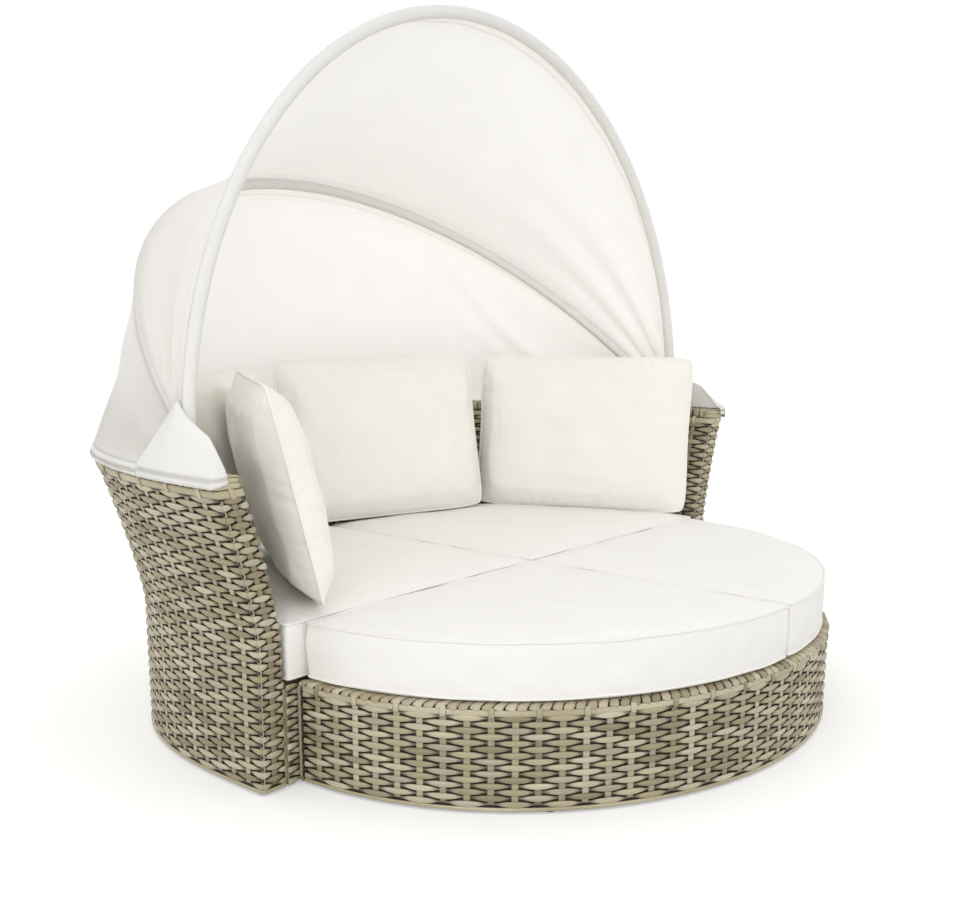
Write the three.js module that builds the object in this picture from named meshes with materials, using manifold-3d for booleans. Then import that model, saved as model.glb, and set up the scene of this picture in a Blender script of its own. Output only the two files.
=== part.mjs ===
// Round outdoor daybed: a sofa half with a flared woven back, a half-moon ottoman pushed against
// it, four seat cushions, four back pillows and a folding fabric canopy on two hoops.
// Millimetres, +Z up. X runs across, the ottoman is on the -Y side, and the origin is on the
// floor below the middle of the whole set.
import * as THREE from 'three';
import { mergeVertices } from 'three/addons/utils/BufferGeometryUtils.js';
import Module from 'manifold-3d';

const wasm = await Module();
wasm.setup();
const { lerp, degToRad } = THREE.MathUtils;
const vec = (x, y, z) => new THREE.Vector3(x, y, z);

// Overall sizes
const overallWidth = 2000;
const sofaDepth = 1040;
const ottomanDepth = 720;
const canopyHeight = 1680;
const backHeight = 670;
const baseHeight = 225;
const seatHeight = 365;

// Clearances and thicknesses that several pieces share
const restGap = 0.3;
const weaveThickness = 8;
const weaveFloorGap = 5;
const fabricThickness = 2;
const glideHeight = 6;
const glideRadius = 12;

// The flared wall of back and arms
const sideFlare = 95;
const backFlare = 216;
const wallThickness = 72;
const flareStartShare = 0.46;
const flarePower = 1.4;
const floorPower = 2.8;
const rimPower = 2.35;

// The welded aluminium frames
const flatTubeHeight = 20;
const railWidth = 28;
const uprightWidth = 40;
const uprightClearance = 4;
const uprightCount = 9;
const crossRailSpacing = 560;
const frontPostSpacing = 640;
const postWidth = 25;
const postRadius = 11;

// The woven rim and bases
const rimWrapDepth = 30;
const rimRound = 14;
const rimRailInset = 18;
const edgeWidth = 48;
const edgeWrapDepth = 22;
const edgeRound = 9;

// The ottoman
const ottomanWidthShare = 0.8;
const ottomanGap = 0.5;

// The canopy
const pivotBehindFront = 157;
const pivotRise = 25;
const tubeRadius = 12.5;
const hoopInset = 69;
const nestPitch = 30;
const frontHoopTilt = 1;
const midHoopTilt = 48.3;
const tabThickness = 6;
const tabWidth = 28;
const tabLength = 18;
const flattenLength = 35;
const boltRadius = 5;
const boltClearance = 0.4;
const boltHeadRadius = 9;
const boltHeadHeight = 6;
const spacerRadius = 9;
const nutLength = 12;
const lugThickness = 5;
const lugRadius = 18;
const lugInset = 40;
const bracketPlate = 4;
const bracketLength = 70;
const bracketWidth = 20;
const sleeveThickness = 1.5;
const clothThickness = 2;
const frontPanelSag = 70;
const rearPanelSag = 22;
const foldDepth = 7;
const foldCount = 9;
const skirtDrop = 22;
const skirtInset = 32;
const skirtFrontGap = 6;
const flapHeight = 120;
const flapInset = 26;
const flapTipHeight = 6;
const flapPower = 1.5;

// Seat cushions and back pillows
const cushionInset = 30;
const cushionGap = 4;
const cushionCrown = 15;
const cushionDrawIn = 3;
const pillowAcrossShare = 0.7995;
const pillowBackShare = 0.8857;
const pillowHeightShare = 0.7132;
const pillowThicknessShare = 0.2432;
const pillowEdge = 4;
const pillowDrawInShare = 0.05;
const pillowFullness = 2.6;
const pillowSoftness = 0.6;

// Each back pillow's place: shares of the seat's half width across and of its depth behind the
// front plane, its turn, its lean, and how far it settles below the seat's highest part, where the
// cushion under it falls away to its edge.
const rightSidePillow = { across: 0.8067, behind: 0.4309, turn: 68.5, lean: 8.3, settle: 6 };
const rightBackPillow = { across: 0.2161, behind: 0.887, turn: 17, lean: 11, settle: 0 };
const leftBackPillow = { across: 0.5582, behind: 0.7766, turn: 28, lean: 11.7, settle: 7.8 };
const leftSidePillow = { across: 0.6651, behind: 0.3391, turn: 56, lean: 13, settle: 0 };

// How finely curves are drawn
const wallColumns = 32;
const wallRows = 8;
const ottomanColumns = 26;
const hoopSteps = 34;
const tubeSides = 8;
const roundSides = 12;
const cushionEdgeSteps = 5;
const pillowColumns = 12;
const pillowRows = 10;
const arcSamples = 1500;
const slopeStep = 0.001;
const mergeTolerance = 0.001;

// Places worked out from the sizes above
const setDepth = sofaDepth + ottomanDepth;
const frontY = -setDepth / 2;
const seamY = frontY + ottomanDepth;
const skirtStandOff = restGap + fabricThickness;
const rimHalfWidth = overallWidth / 2 - skirtStandOff;
const rimDepth = sofaDepth - skirtStandOff;
const floorWidth = overallWidth - 2 * sideFlare;
const floorDepth = sofaDepth - backFlare;
const seatHalfWidth = floorWidth / 2 - wallThickness;
const seatDepth = floorDepth - wallThickness;
const ottomanWidth = ottomanWidthShare * overallWidth;
const frontHoopWidth = overallWidth - 2 * hoopInset;
const pillowWidth = Math.min(pillowAcrossShare * seatHalfWidth, pillowBackShare * seatDepth);
const pillowHeight = pillowHeightShare * pillowWidth;
const pillowThickness = pillowThicknessShare * pillowWidth;
const coreStart = weaveThickness + restGap;
const coreEnd = wallThickness - weaveThickness - restGap;
const ottomanBackY = seamY - ottomanGap;
const deckTop = baseHeight;
const deckBottom = deckTop - weaveThickness;
const railTop = deckBottom - restGap;
const railBottom = railTop - flatTubeHeight;
const floorRailTop = glideHeight + flatTubeHeight;
const pivotY = seamY + pivotBehindFront;
const pivotZ = backHeight + pivotRise;
const sleeveInner = tubeRadius + restGap;
const sleeveOuter = sleeveInner + sleeveThickness;

const materials = {
  weave: ['#a79c7b', 0.7, 0],
  frame: ['#8b8981', 0.45, 0.8],
  hoop: ['#9b9a95', 0.35, 0.85],
  steel: ['#b9b9b6', 0.3, 1],
  glide: ['#2b2b29', 0.6, 0],
  cushion: ['#efede6', 0.9, 0],
  canopy: ['#f4f2ec', 0.85, 0],
};

// A closed body from points and triangles, with its faces turned outwards.
function bodyFrom(points, faces) {
  const cross = new THREE.Vector3();
  const sixVolumes = faces.reduce(
    (sum, [a, b, c]) => sum + points[a].dot(cross.crossVectors(points[b], points[c])),
    0,
  );
  const outward = sixVolumes < 0 ? faces.map(([a, b, c]) => [a, c, b]) : faces;
  const geometry = new THREE.BufferGeometry().setFromPoints(points);
  geometry.setIndex(outward.flat());
  geometry.computeVertexNormals();
  return geometry;
}

// Two triangles for each step round a pair of equal rings.
function joinRings(near, far, faces) {
  near.forEach((_, k) => {
    const next = (k + 1) % near.length;
    faces.push([near[k], near[next], far[next]], [near[k], far[next], far[k]]);
  });
}

// A body through equal rings of points. Its ends are a fan round their centre, or are joined to
// each other.
function loft(rings, ends = 'fan') {
  const points = rings.flat();
  const width = rings[0].length;
  const rows = rings.map((ring, r) => ring.map((_, k) => r * width + k));
  const faces = [];
  rows.slice(1).forEach((row, r) => joinRings(rows[r], row, faces));
  if (ends === 'joined') {
    joinRings(rows.at(-1), rows[0], faces);
    return bodyFrom(points, faces);
  }
  for (const [row, reversed] of [[rows[0], true], [rows.at(-1), false]]) {
    const middle = row.reduce((sum, k) => sum.add(points[k]), vec(0, 0, 0));
    points.push(middle.divideScalar(width));
    const lid = row.map((k, i) => [k, row[(i + 1) % width], points.length - 1]);
    faces.push(...(reversed ? lid.map(([a, b, c]) => [a, c, b]) : lid));
  }
  return bodyFrom(points, faces);
}

// The places round the border of a grid, in order.
function borderOf(columns, rows) {
  const run = (count, place) => Array.from({ length: count }, (_, i) => place(i));
  return [
    ...run(columns - 1, (i) => [i, 0]),
    ...run(rows - 1, (i) => [columns - 1, i]),
    ...run(columns - 1, (i) => [columns - 1 - i, rows - 1]),
    ...run(rows - 1, (i) => [0, rows - 1 - i]),
  ];
}

// A sheet with thickness, between two equal grids of points. Both sides are split along the same
// diagonals, so that a curved thin sheet never passes through itself.
function thickSheet(face, back) {
  const [columns, rows] = [face.length, face[0].length];
  const at = (k, n) => k * rows + n;
  const behind = columns * rows;
  const faces = [];
  for (let k = 0; k + 1 < columns; k++) {
    for (let n = 0; n + 1 < rows; n++) {
      const [a, b, c, d] = [at(k, n), at(k + 1, n), at(k + 1, n + 1), at(k, n + 1)];
      faces.push([a, b, c], [a, c, d]);
      faces.push([a, c, b].map((i) => i + behind), [a, d, c].map((i) => i + behind));
    }
  }
  const border = borderOf(columns, rows).map(([k, n]) => at(k, n));
  border.forEach((near, i) => {
    const next = border[(i + 1) % border.length];
    faces.push([next, near, near + behind], [next, near + behind, next + behind]);
  });
  return bodyFrom([...face.flat(), ...back.flat()], faces);
}

function asSolid(geometry) {
  const bare = geometry.clone();
  bare.deleteAttribute('normal');
  bare.deleteAttribute('uv');
  const merged = mergeVertices(bare, mergeTolerance);
  return new wasm.Manifold(new wasm.Mesh({
    numProp: 3,
    vertProperties: merged.attributes.position.array,
    triVerts: new Uint32Array(merged.index.array),
  }));
}

function asGeometry(solid) {
  const mesh = solid.getMesh();
  const geometry = new THREE.BufferGeometry();
  geometry.setAttribute('position', new THREE.BufferAttribute(mesh.vertProperties, 3));
  geometry.setIndex(new THREE.BufferAttribute(mesh.triVerts, 1));
  geometry.computeVertexNormals();
  return geometry;
}

const joined = (...bodies) => asGeometry(bodies.map(asSolid).reduce((a, b) => a.add(b)));
const cutBy = (body, ...tools) =>
  asGeometry(tools.reduce((left, tool) => left.subtract(asSolid(tool)), asSolid(body)));

function box([x0, x1], [y0, y1], [z0, z1]) {
  const geometry = new THREE.BoxGeometry(x1 - x0, y1 - y0, z1 - z0);
  return geometry.translate((x0 + x1) / 2, (y0 + y1) / 2, (z0 + z1) / 2);
}

// A turned piece whose axis runs along X, from [radius, place] points.
function turned(profile) {
  const points = profile.map(([radius, place]) => new THREE.Vector2(radius, place));
  return new THREE.LatheGeometry(points, roundSides).rotateZ(-Math.PI / 2);
}

// Angles that step evenly along a curve, between two angles of it.
function evenAngles(pointAt, count, from = 0, to = Math.PI) {
  const angles = Array.from({ length: arcSamples + 1 }, (_, i) => lerp(from, to, i / arcSamples));
  const lengths = [0];
  for (let i = 1; i <= arcSamples; i++) {
    lengths.push(lengths[i - 1] + pointAt(angles[i]).distanceTo(pointAt(angles[i - 1])));
  }
  return Array.from({ length: count + 1 }, (_, k) => {
    const goal = lengths.at(-1) * k / count;
    const found = lengths.findIndex((length) => length >= goal);
    const i = found < 1 ? (k ? arcSamples : 1) : found;
    const share = (goal - lengths[i - 1]) / (lengths[i] - lengths[i - 1]);
    return lerp(angles[i - 1], angles[i], Math.min(Math.max(share, 0), 1));
  });
}

// A point at an inset from a curve drawn anticlockwise seen from above, measured to its left.
function insetPoint(pointAt, angle, inset) {
  const ahead = pointAt(Math.min(angle + slopeStep, Math.PI));
  const along = ahead.sub(pointAt(Math.max(angle - slopeStep, 0))).normalize();
  return pointAt(angle).add(vec(-along.y, along.x, 0).multiplyScalar(inset));
}

// A sheet that follows a run of columns: each profile is a list of [inset, height].
function sheetAlong(columns, pointAt, outerProfile, innerProfile) {
  const grid = (profile) =>
    columns.map((_, k) => profile.map(([inset, z]) => pointAt(k, inset, z)));
  return thickSheet(grid(outerProfile), grid(innerProfile));
}

// A profile moved sideways by a distance, to the left of its direction.
function offsetProfile(profile, distance) {
  const normals = profile.slice(1).map(([x, y], k) => {
    const along = new THREE.Vector2(x - profile[k][0], y - profile[k][1]).normalize();
    return new THREE.Vector2(-along.y, along.x);
  });
  return profile.map(([x, y], k) => {
    const before = normals[Math.max(k - 1, 0)];
    const after = normals[Math.min(k, normals.length - 1)];
    const mitre = before.clone().add(after).normalize();
    const reach = distance / mitre.dot(after);
    return [x + mitre.x * reach, y + mitre.y * reach];
  });
}

const heights = (low, high, count) =>
  Array.from({ length: count + 1 }, (_, k) => lerp(low, high, k / count));

// The wall of back and arms

// Its outer sizes at a height: upright at first, then flaring out to the rim's shoulder.
function wallSizes(z) {
  const riseShare = z / (backHeight - rimRound);
  const share = (Math.min(riseShare, 1) - flareStartShare) / (1 - flareStartShare);
  const flare = Math.max(share, 0) ** flarePower;
  return {
    halfWidth: lerp(floorWidth / 2, rimHalfWidth, flare),
    depth: lerp(floorDepth, rimDepth, flare),
    power: lerp(floorPower, rimPower, flare),
  };
}

// The wall's outer outline at a height: angle 0 is the right arm's end, half a turn the left's.
function wallOutline(z) {
  const { halfWidth, depth, power } = wallSizes(z);
  return (angle) => {
    const [across, back] = [Math.cos(angle), Math.sin(angle)];
    const x = halfWidth * Math.sign(across) * Math.abs(across) ** (2 / power);
    return vec(x, seamY + depth * Math.max(back, 0) ** (2 / power), z);
  };
}

// The outline's angle at a distance behind the sofa's front plane.
function angleBehind(distance, z) {
  const { depth, power } = wallSizes(z);
  return Math.asin((distance / depth) ** (power / 2));
}

const wallAngles = evenAngles(wallOutline(backHeight), wallColumns);

// A point of the wall, whose first and last columns stand at a distance behind the front plane.
const wallAt = (distance) => (k, inset, z) => {
  const end = angleBehind(distance, z);
  const angle = Math.min(Math.max(wallAngles[k], end), Math.PI - end);
  const point = insetPoint(wallOutline(z), angle, inset);
  return k % wallColumns ? point : point.setY(seamY + distance);
};

// A ring of flat tube round the wall's foot or seat, closed by a straight front bar.
function wallRing(insetOut, insetIn, low, high) {
  const [outer, inner] = [wallAt(coreStart), wallAt(coreStart + insetIn - insetOut)];
  return loft(wallAngles.map((_, k) => [
    outer(k, insetOut, low),
    inner(k, insetIn, low),
    inner(k, insetIn, high),
    outer(k, insetOut, high),
  ]), 'joined');
}

// The inner depth of the wall at a distance from the middle.
function wallDepthAt(x, z, inset) {
  const { halfWidth, depth, power } = wallSizes(z);
  const share = 1 - (x / (halfWidth - inset)) ** power;
  return seamY + (depth - inset) * share ** (1 / power);
}

const rimProfile = [
  [0, backHeight - rimWrapDepth],
  [0, backHeight - rimRound],
  [rimRound / 4, backHeight - rimRound / 4],
  [rimRound, backHeight],
  [wallThickness - rimRound, backHeight],
  [wallThickness - rimRound / 4, backHeight - rimRound / 4],
  [wallThickness, backHeight - rimRound],
  [wallThickness, backHeight - rimWrapDepth],
];

// The heights at which the wall's curve is drawn, alike for its woven skins and its uprights.
const wallLevels = heights(weaveFloorGap, backHeight - rimWrapDepth - restGap, wallRows);
const levelsFrom = (low) => [low, ...wallLevels.filter((z) => z > low)];

function outerWeave() {
  const levels = levelsFrom(weaveFloorGap);
  return sheetAlong(
    wallAngles,
    wallAt(coreStart),
    levels.map((z) => [0, z]),
    levels.map((z) => [weaveThickness, z]),
  );
}

function innerWeave() {
  const levels = levelsFrom(railBottom);
  return sheetAlong(
    wallAngles,
    wallAt(coreStart),
    levels.map((z) => [wallThickness - weaveThickness, z]),
    levels.map((z) => [wallThickness, z]),
  );
}

const rimWeave = () => sheetAlong(
  wallAngles,
  wallAt(0),
  rimProfile,
  offsetProfile(rimProfile, -weaveThickness),
);

// The panel that closes an arm's end, side 1 for the right and -1 for the left.
function armEndWeave(side) {
  const necked = [backHeight - rimWrapDepth - restGap, backHeight - rimRound - restGap];
  const edges = [
    ...levelsFrom(weaveFloorGap).map((z) => [0, wallThickness, z]),
    ...necked.map((z) => [coreStart + 2 * restGap, coreEnd - 2 * restGap, z]),
  ];
  const face = (y) => edges.map(([outer, inner, z]) => {
    const halfWidth = wallSizes(z).halfWidth;
    return [vec(side * (halfWidth - outer), y, z), vec(side * (halfWidth - inner), y, z)];
  });
  return thickSheet(face(seamY), face(seamY + weaveThickness));
}

function sofaFrontWeave() {
  const reach = floorWidth / 2 - wallThickness - restGap;
  return box([-reach, reach], [seamY, seamY + weaveThickness], [weaveFloorGap, baseHeight]);
}

// The seat ring carries the deck, with two cross rails and two posts under its front bar.
function seatRing() {
  const inset = wallThickness + restGap;
  const ring = wallRing(inset, inset + railWidth, railBottom, railTop);
  const middle = inset + railWidth / 2;
  const start = seamY + coreStart + railWidth / 2;
  const rails = [-1, 1].map((side) => {
    const x = side * crossRailSpacing / 2;
    const end = wallDepthAt(crossRailSpacing / 2, railTop, middle);
    return box([x - railWidth / 2, x + railWidth / 2], [start, end], [railBottom, railTop]);
  });
  const posts = [-1, 1].map((side) => {
    const x = side * frontPostSpacing / 2;
    const y = [seamY + coreStart, seamY + coreStart + postWidth];
    const z = [floorRailTop + restGap, railBottom + flatTubeHeight / 2];
    return box([x - postWidth / 2, x + postWidth / 2], y, z);
  });
  return joined(ring, ...rails, ...posts);
}

// The back frame: uprights that follow the flare, welded under the flat tube of the rim.
function backFrame() {
  const top = backHeight - weaveThickness - restGap;
  const railLow = top - flatTubeHeight;
  const at = wallAt(coreStart);
  const rail = loft(wallAngles.map((_, k) => [
    at(k, rimRailInset, railLow),
    at(k, wallThickness - rimRailInset, railLow),
    at(k, wallThickness - rimRailInset, top),
    at(k, rimRailInset, top),
  ]));
  const levels = [...levelsFrom(floorRailTop + restGap), railLow + flatTubeHeight / 2];
  const faces = [coreStart + uprightClearance, coreEnd];
  const clear = coreStart + uprightClearance + uprightWidth / 2;
  const uprights = Array.from({ length: uprightCount }, (_, n) => {
    const column = Math.round(wallColumns * n / (uprightCount - 1));
    return loft(levels.map((z) => {
      const end = angleBehind(clear, z);
      const angle = Math.min(Math.max(wallAngles[column], end), Math.PI - end);
      const [outer, inner] = faces.map((inset) => insetPoint(wallOutline(z), angle, inset));
      const inward = inner.clone().sub(outer).normalize();
      const half = vec(inward.y, -inward.x, 0).multiplyScalar(uprightWidth / 2);
      return [
        outer.clone().add(half),
        inner.clone().add(half),
        inner.clone().sub(half),
        outer.clone().sub(half),
      ];
    }));
  });
  return joined(rail, ...uprights);
}

// A flat deck inside a closed outline, its top level with the woven base.
function deck(outline) {
  const shape = new THREE.Shape(outline.map(({ x, y }) => new THREE.Vector2(x, y)));
  const geometry = new THREE.ExtrudeGeometry(shape, { depth: weaveThickness, bevelEnabled: false });
  return geometry.translate(0, 0, deckBottom);
}

function sofaDeck() {
  const at = wallAt(coreStart);
  return deck(wallAngles.map((_, k) => at(k, wallThickness + restGap, deckTop)));
}

const glide = (x, y) => new THREE.CylinderGeometry(
  glideRadius, glideRadius, glideHeight - restGap, roundSides,
).rotateX(Math.PI / 2).translate(x, y, (glideHeight - restGap) / 2);

function sofaGlides() {
  const middle = (coreStart + coreEnd) / 2;
  const at = wallAt(middle + glideRadius);
  const columns = [0, 1, 2, 3, 4].map((n) => Math.round(wallColumns * n / 4));
  const places = columns.map((k) => at(k, middle, 0));
  return [...places, vec(0, seamY + middle, 0)].map(({ x, y }) => glide(x, y));
}

// The ottoman

const ottomanOutline = (angle) => vec(
  ottomanWidth / 2 * Math.cos(angle),
  ottomanBackY + (frontY - ottomanBackY) * Math.max(Math.sin(angle), 0),
  0,
);
const ottomanAngles = evenAngles(ottomanOutline, ottomanColumns);

// A point of the ottoman's side, whose end columns stand at a distance before its back plane.
const ottomanAt = (distance) => (k, inset, z) => {
  const end = Math.asin(distance / (ottomanBackY - frontY));
  const angle = Math.min(Math.max(ottomanAngles[k], end), Math.PI - end);
  const point = insetPoint(ottomanOutline, angle, -inset).setZ(z);
  return k % ottomanColumns ? point : point.setY(ottomanBackY - distance);
};

function ottomanRing(low, high) {
  const [outer, inner] = [ottomanAt(coreStart), ottomanAt(coreStart + railWidth)];
  return loft(ottomanAngles.map((_, k) => [
    outer(k, coreStart, low),
    inner(k, coreStart + railWidth, low),
    inner(k, coreStart + railWidth, high),
    outer(k, coreStart, high),
  ]), 'joined');
}

// The floor ring carries short posts that hold the top ring.
function ottomanFloorRing() {
  const middle = coreStart + railWidth / 2;
  const at = ottomanAt(middle);
  const columns = [0, 1, 2, 3, 4].map((n) => Math.round(ottomanColumns * n / 4));
  const places = [...columns.map((k) => at(k, middle, 0)), vec(0, ottomanBackY - middle, 0)];
  const [low, high] = [floorRailTop - flatTubeHeight / 2, railBottom - restGap];
  const posts = places.map(({ x, y }) =>
    new THREE.CylinderGeometry(postRadius, postRadius, high - low, roundSides)
      .rotateX(Math.PI / 2).translate(x, y, (low + high) / 2));
  return joined(ottomanRing(glideHeight, floorRailTop), ...posts);
}

function ottomanTopRing() {
  const middle = coreStart + railWidth / 2;
  const half = crossRailSpacing / 2;
  const reach = Math.sqrt(1 - (half / (ottomanWidth / 2 - middle)) ** 2);
  const rails = [-half, half].map((x) => box(
    [x - railWidth / 2, x + railWidth / 2],
    [ottomanBackY - (ottomanBackY - frontY - middle) * reach, ottomanBackY - middle],
    [railBottom, railTop],
  ));
  return joined(ottomanRing(railBottom, railTop), ...rails);
}

function ottomanSideWeave() {
  const levels = heights(weaveFloorGap, baseHeight - edgeWrapDepth - restGap, 3);
  return sheetAlong(
    ottomanAngles,
    ottomanAt(coreStart),
    levels.map((z) => [0, z]),
    levels.map((z) => [weaveThickness, z]),
  );
}

const edgeProfile = [
  [0, baseHeight - edgeWrapDepth],
  [0, baseHeight - edgeRound],
  [edgeRound / 4, baseHeight - edgeRound / 4],
  [edgeRound, baseHeight],
  [edgeWidth, baseHeight],
];

const ottomanEdgeWeave = () => sheetAlong(
  ottomanAngles,
  ottomanAt(coreStart),
  edgeProfile,
  offsetProfile(edgeProfile, -(weaveThickness - 2 * restGap)),
);

function ottomanBackWeave() {
  const reach = ottomanWidth / 2 - restGap;
  const y = [ottomanBackY - weaveThickness, ottomanBackY];
  return box([-reach, reach], y, [weaveFloorGap, baseHeight]);
}

function ottomanDeck() {
  const at = ottomanAt(coreStart);
  return deck(ottomanAngles.map((_, k) => at(k, edgeWidth + restGap, deckTop)).reverse());
}

function ottomanGlides() {
  const middle = coreStart + railWidth / 2;
  const at = ottomanAt(middle);
  const columns = [0, 1, 2, 3, 4].map((n) => Math.round(ottomanColumns * n / 4));
  return columns.map((k) => at(k, middle, 0)).map(({ x, y }) => glide(x, y));
}

// The canopy's hoops and their pivots

function hoop(halfWidth, height, tilt) {
  const up = vec(0, Math.sin(degToRad(tilt)), Math.cos(degToRad(tilt)));
  const back = vec(0, up.z, -up.y);
  const place = (x, h) => vec(x, pivotY, pivotZ).addScaledVector(up, h);
  // The centre line's point at an angle, with the directions out of the hoop and behind it.
  const frame = (angle) => {
    const [x, h] = [halfWidth * Math.cos(angle), height * Math.sin(angle)];
    const outX = height * Math.cos(angle);
    const outUp = halfWidth * Math.sin(angle);
    const out = vec(outX, 0, 0).addScaledVector(up, outUp).normalize();
    return { centre: place(x, h), out, back };
  };
  return { halfWidth, height, up, back, place, frame };
}

const frontTilt = degToRad(frontHoopTilt);
const frontHoopRise = (canopyHeight - sleeveOuter - pivotZ) / Math.cos(frontTilt);
const frontHoop = hoop(frontHoopWidth / 2, frontHoopRise, frontHoopTilt);
const midHoop = hoop(frontHoopWidth / 2 - nestPitch, frontHoopRise - nestPitch, midHoopTilt);

// The angles at which a hoop's round part is drawn, alike for its tube and the cloth on it.
function hoopAngles({ height, frame }) {
  const start = Math.asin(2 * flattenLength / height);
  return evenAngles((angle) => frame(angle).centre, hoopSteps, start, Math.PI - start);
}

// The tube of a hoop, flattened to a drilled tab at each pivot.
function hoopTube({ halfWidth, height, up, back, place, frame }) {
  const section = (centre, out, halfOut, halfBack) =>
    Array.from({ length: tubeSides }, (_, n) => {
      const turn = 2 * Math.PI * (n + 0.5) / tubeSides;
      const reach = 1 / Math.cos(Math.PI / tubeSides);
      return centre.clone()
        .addScaledVector(out, halfOut * reach * Math.cos(turn))
        .addScaledVector(back, halfBack * reach * Math.sin(turn));
    });
  const foot = (side) => {
    const out = vec(side, 0, 0);
    const at = (h, halfOut, halfBack) => section(place(side * halfWidth, h), out, halfOut, halfBack);
    return [
      at(-tabLength, tabThickness / 2, tabWidth / 4),
      at(-tabLength / 2, tabThickness / 2, tabWidth / 2),
      at(tabLength / 2, tabThickness / 2, tabWidth / 2),
      at(flattenLength, tubeRadius, tubeRadius),
    ];
  };
  const round = hoopAngles({ height, frame }).map((angle) => {
    const { centre, out } = frame(angle);
    return section(centre, out, tubeRadius, tubeRadius);
  });
  const tube = loft([...foot(1), ...round, ...foot(-1).reverse()]);
  const holes = [-1, 1].map((side) => {
    const radius = boltRadius + boltClearance;
    const length = 2 * tabWidth;
    return new THREE.CylinderGeometry(radius, radius, length, roundSides)
      .rotateZ(Math.PI / 2).translate(side * halfWidth, pivotY, pivotZ);
  });
  return cutBy(tube, ...holes);
}

// Along the right bolt: the lug's faces, the two tabs and the spacers between them.
const rimAtPivot = wallOutline(backHeight)(angleBehind(pivotBehindFront, backHeight)).x;
const lugOuter = rimAtPivot - lugInset;
const lugInner = lugOuter - lugThickness;
const frontTabOuter = frontHoop.halfWidth + tabThickness / 2;
const frontTabInner = frontHoop.halfWidth - tabThickness / 2;
const midTabOuter = midHoop.halfWidth + tabThickness / 2;
const midTabInner = midHoop.halfWidth - tabThickness / 2;

// The bracket on the rim: a base plate with an upright lug, drilled for the bolt.
function bracket(side) {
  const base = backHeight + restGap;
  const outline = new THREE.Shape();
  outline.moveTo(-lugRadius, base - pivotZ);
  outline.lineTo(lugRadius, base - pivotZ);
  outline.lineTo(lugRadius, 0);
  outline.absarc(0, 0, lugRadius, 0, Math.PI, false);
  const hole = new THREE.Path();
  hole.absarc(0, 0, boltRadius + boltClearance, 0, 2 * Math.PI, false);
  outline.holes.push(hole);
  const settings = { depth: lugThickness, bevelEnabled: false, curveSegments: roundSides };
  const lug = new THREE.ExtrudeGeometry(outline, settings)
    .rotateX(Math.PI / 2).rotateZ(Math.PI / 2)
    .translate(lugInner, pivotY, pivotZ);
  const plate = box(
    [lugOuter - bracketWidth, lugOuter],
    [pivotY - bracketLength / 2, pivotY + bracketLength / 2],
    [base, base + bracketPlate],
  );
  const whole = joined(lug, plate);
  return side > 0 ? whole : mirrored(whole);
}

// The same piece on the left side.
function mirrored(geometry) {
  const copy = geometry.clone().scale(-1, 1, 1);
  const index = copy.index.array;
  for (let i = 0; i < index.length; i += 3) [index[i], index[i + 1]] = [index[i + 1], index[i]];
  return copy;
}

const onPivot = (geometry, side) =>
  geometry.rotateZ(side > 0 ? 0 : Math.PI).translate(0, pivotY, pivotZ);

const pivotBolt = (side) => onPivot(turned([
  [0, midTabInner - restGap - nutLength / 2],
  [boltRadius, midTabInner - restGap - nutLength / 2],
  [boltRadius, lugOuter + restGap],
  [boltHeadRadius, lugOuter + restGap],
  [boltHeadRadius, lugOuter + restGap + boltHeadHeight],
  [0, lugOuter + restGap + boltHeadHeight],
]), side);

const spacer = (from, to, side) => onPivot(turned([
  [boltRadius + boltClearance, from + restGap],
  [spacerRadius, from + restGap],
  [spacerRadius, to - restGap],
  [boltRadius + boltClearance, to - restGap],
  [boltRadius + boltClearance, from + restGap],
]), side);

const capNut = (side) => onPivot(turned([
  [0, midTabInner - restGap - nutLength],
  [boltRadius, midTabInner - restGap - nutLength],
  [boltHeadRadius, midTabInner - restGap - nutLength / 2],
  [boltHeadRadius, midTabInner - restGap],
  [boltRadius + boltClearance, midTabInner - restGap],
  [boltRadius + boltClearance, midTabInner - 2 * restGap - nutLength / 2],
  [0, midTabInner - 2 * restGap - nutLength / 2],
]), side);

// The canopy's cloth

// Eighths of a turn round a hoop's tube, from behind it inside, over its front, to outside it.
const wrapEighths = [-4.5, -3.5, -2.5, -1.5, -0.5, 0.5];
const lapEighths = [-0.5, 0];
const spanShares = [0.12, 0.34, 0.56, 0.78];

// How far along a flap, and how far up it, its cloth is drawn.
const flapShares = [0, 0.25, 0.5, 0.75, 1];
const flapRiseShares = [0, 0.5, 1];

// The points of a sleeve that lies along a tube's flats, at a distance from its centre line.
const sleevePoints = ({ centre, out, back }, distance, eighths) => eighths.map((eighth) => {
  const turn = 2 * Math.PI * eighth / tubeSides;
  const fromFlat = 2 * Math.PI * (eighth - Math.trunc(eighth)) / tubeSides;
  const reach = distance / Math.cos(fromFlat);
  return centre.clone()
    .addScaledVector(out, reach * Math.cos(turn))
    .addScaledVector(back, reach * Math.sin(turn));
});

// How far the cloth between two edges leaves the straight line: a sag, and folds at the sides.
function drop(sag, share, columnShare) {
  const between = 4 * share * (1 - share);
  const fromTop = Math.abs(2 * columnShare - 1);
  const slack = 4 * fromTop * (1 - fromTop);
  const fold = foldDepth * slack * Math.cos(2 * Math.PI * foldCount * columnShare);
  return between * (sag * (1 - fromTop ** 2) + fold);
}

// Each point of a grid moved out by a distance, square to the grid's own surface.
function raised(grid, distance) {
  const near = (count, n) => [Math.max(n - 1, 0), Math.min(n + 1, count - 1)];
  return grid.map((column, k) => column.map((point, n) => {
    const [left, right] = near(grid.length, k);
    const [below, above] = near(column.length, n);
    const along = grid[right][n].clone().sub(grid[left][n]);
    const up = column[above].clone().sub(column[below]);
    return point.clone().addScaledVector(along.cross(up).normalize(), -distance);
  }));
}

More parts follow.
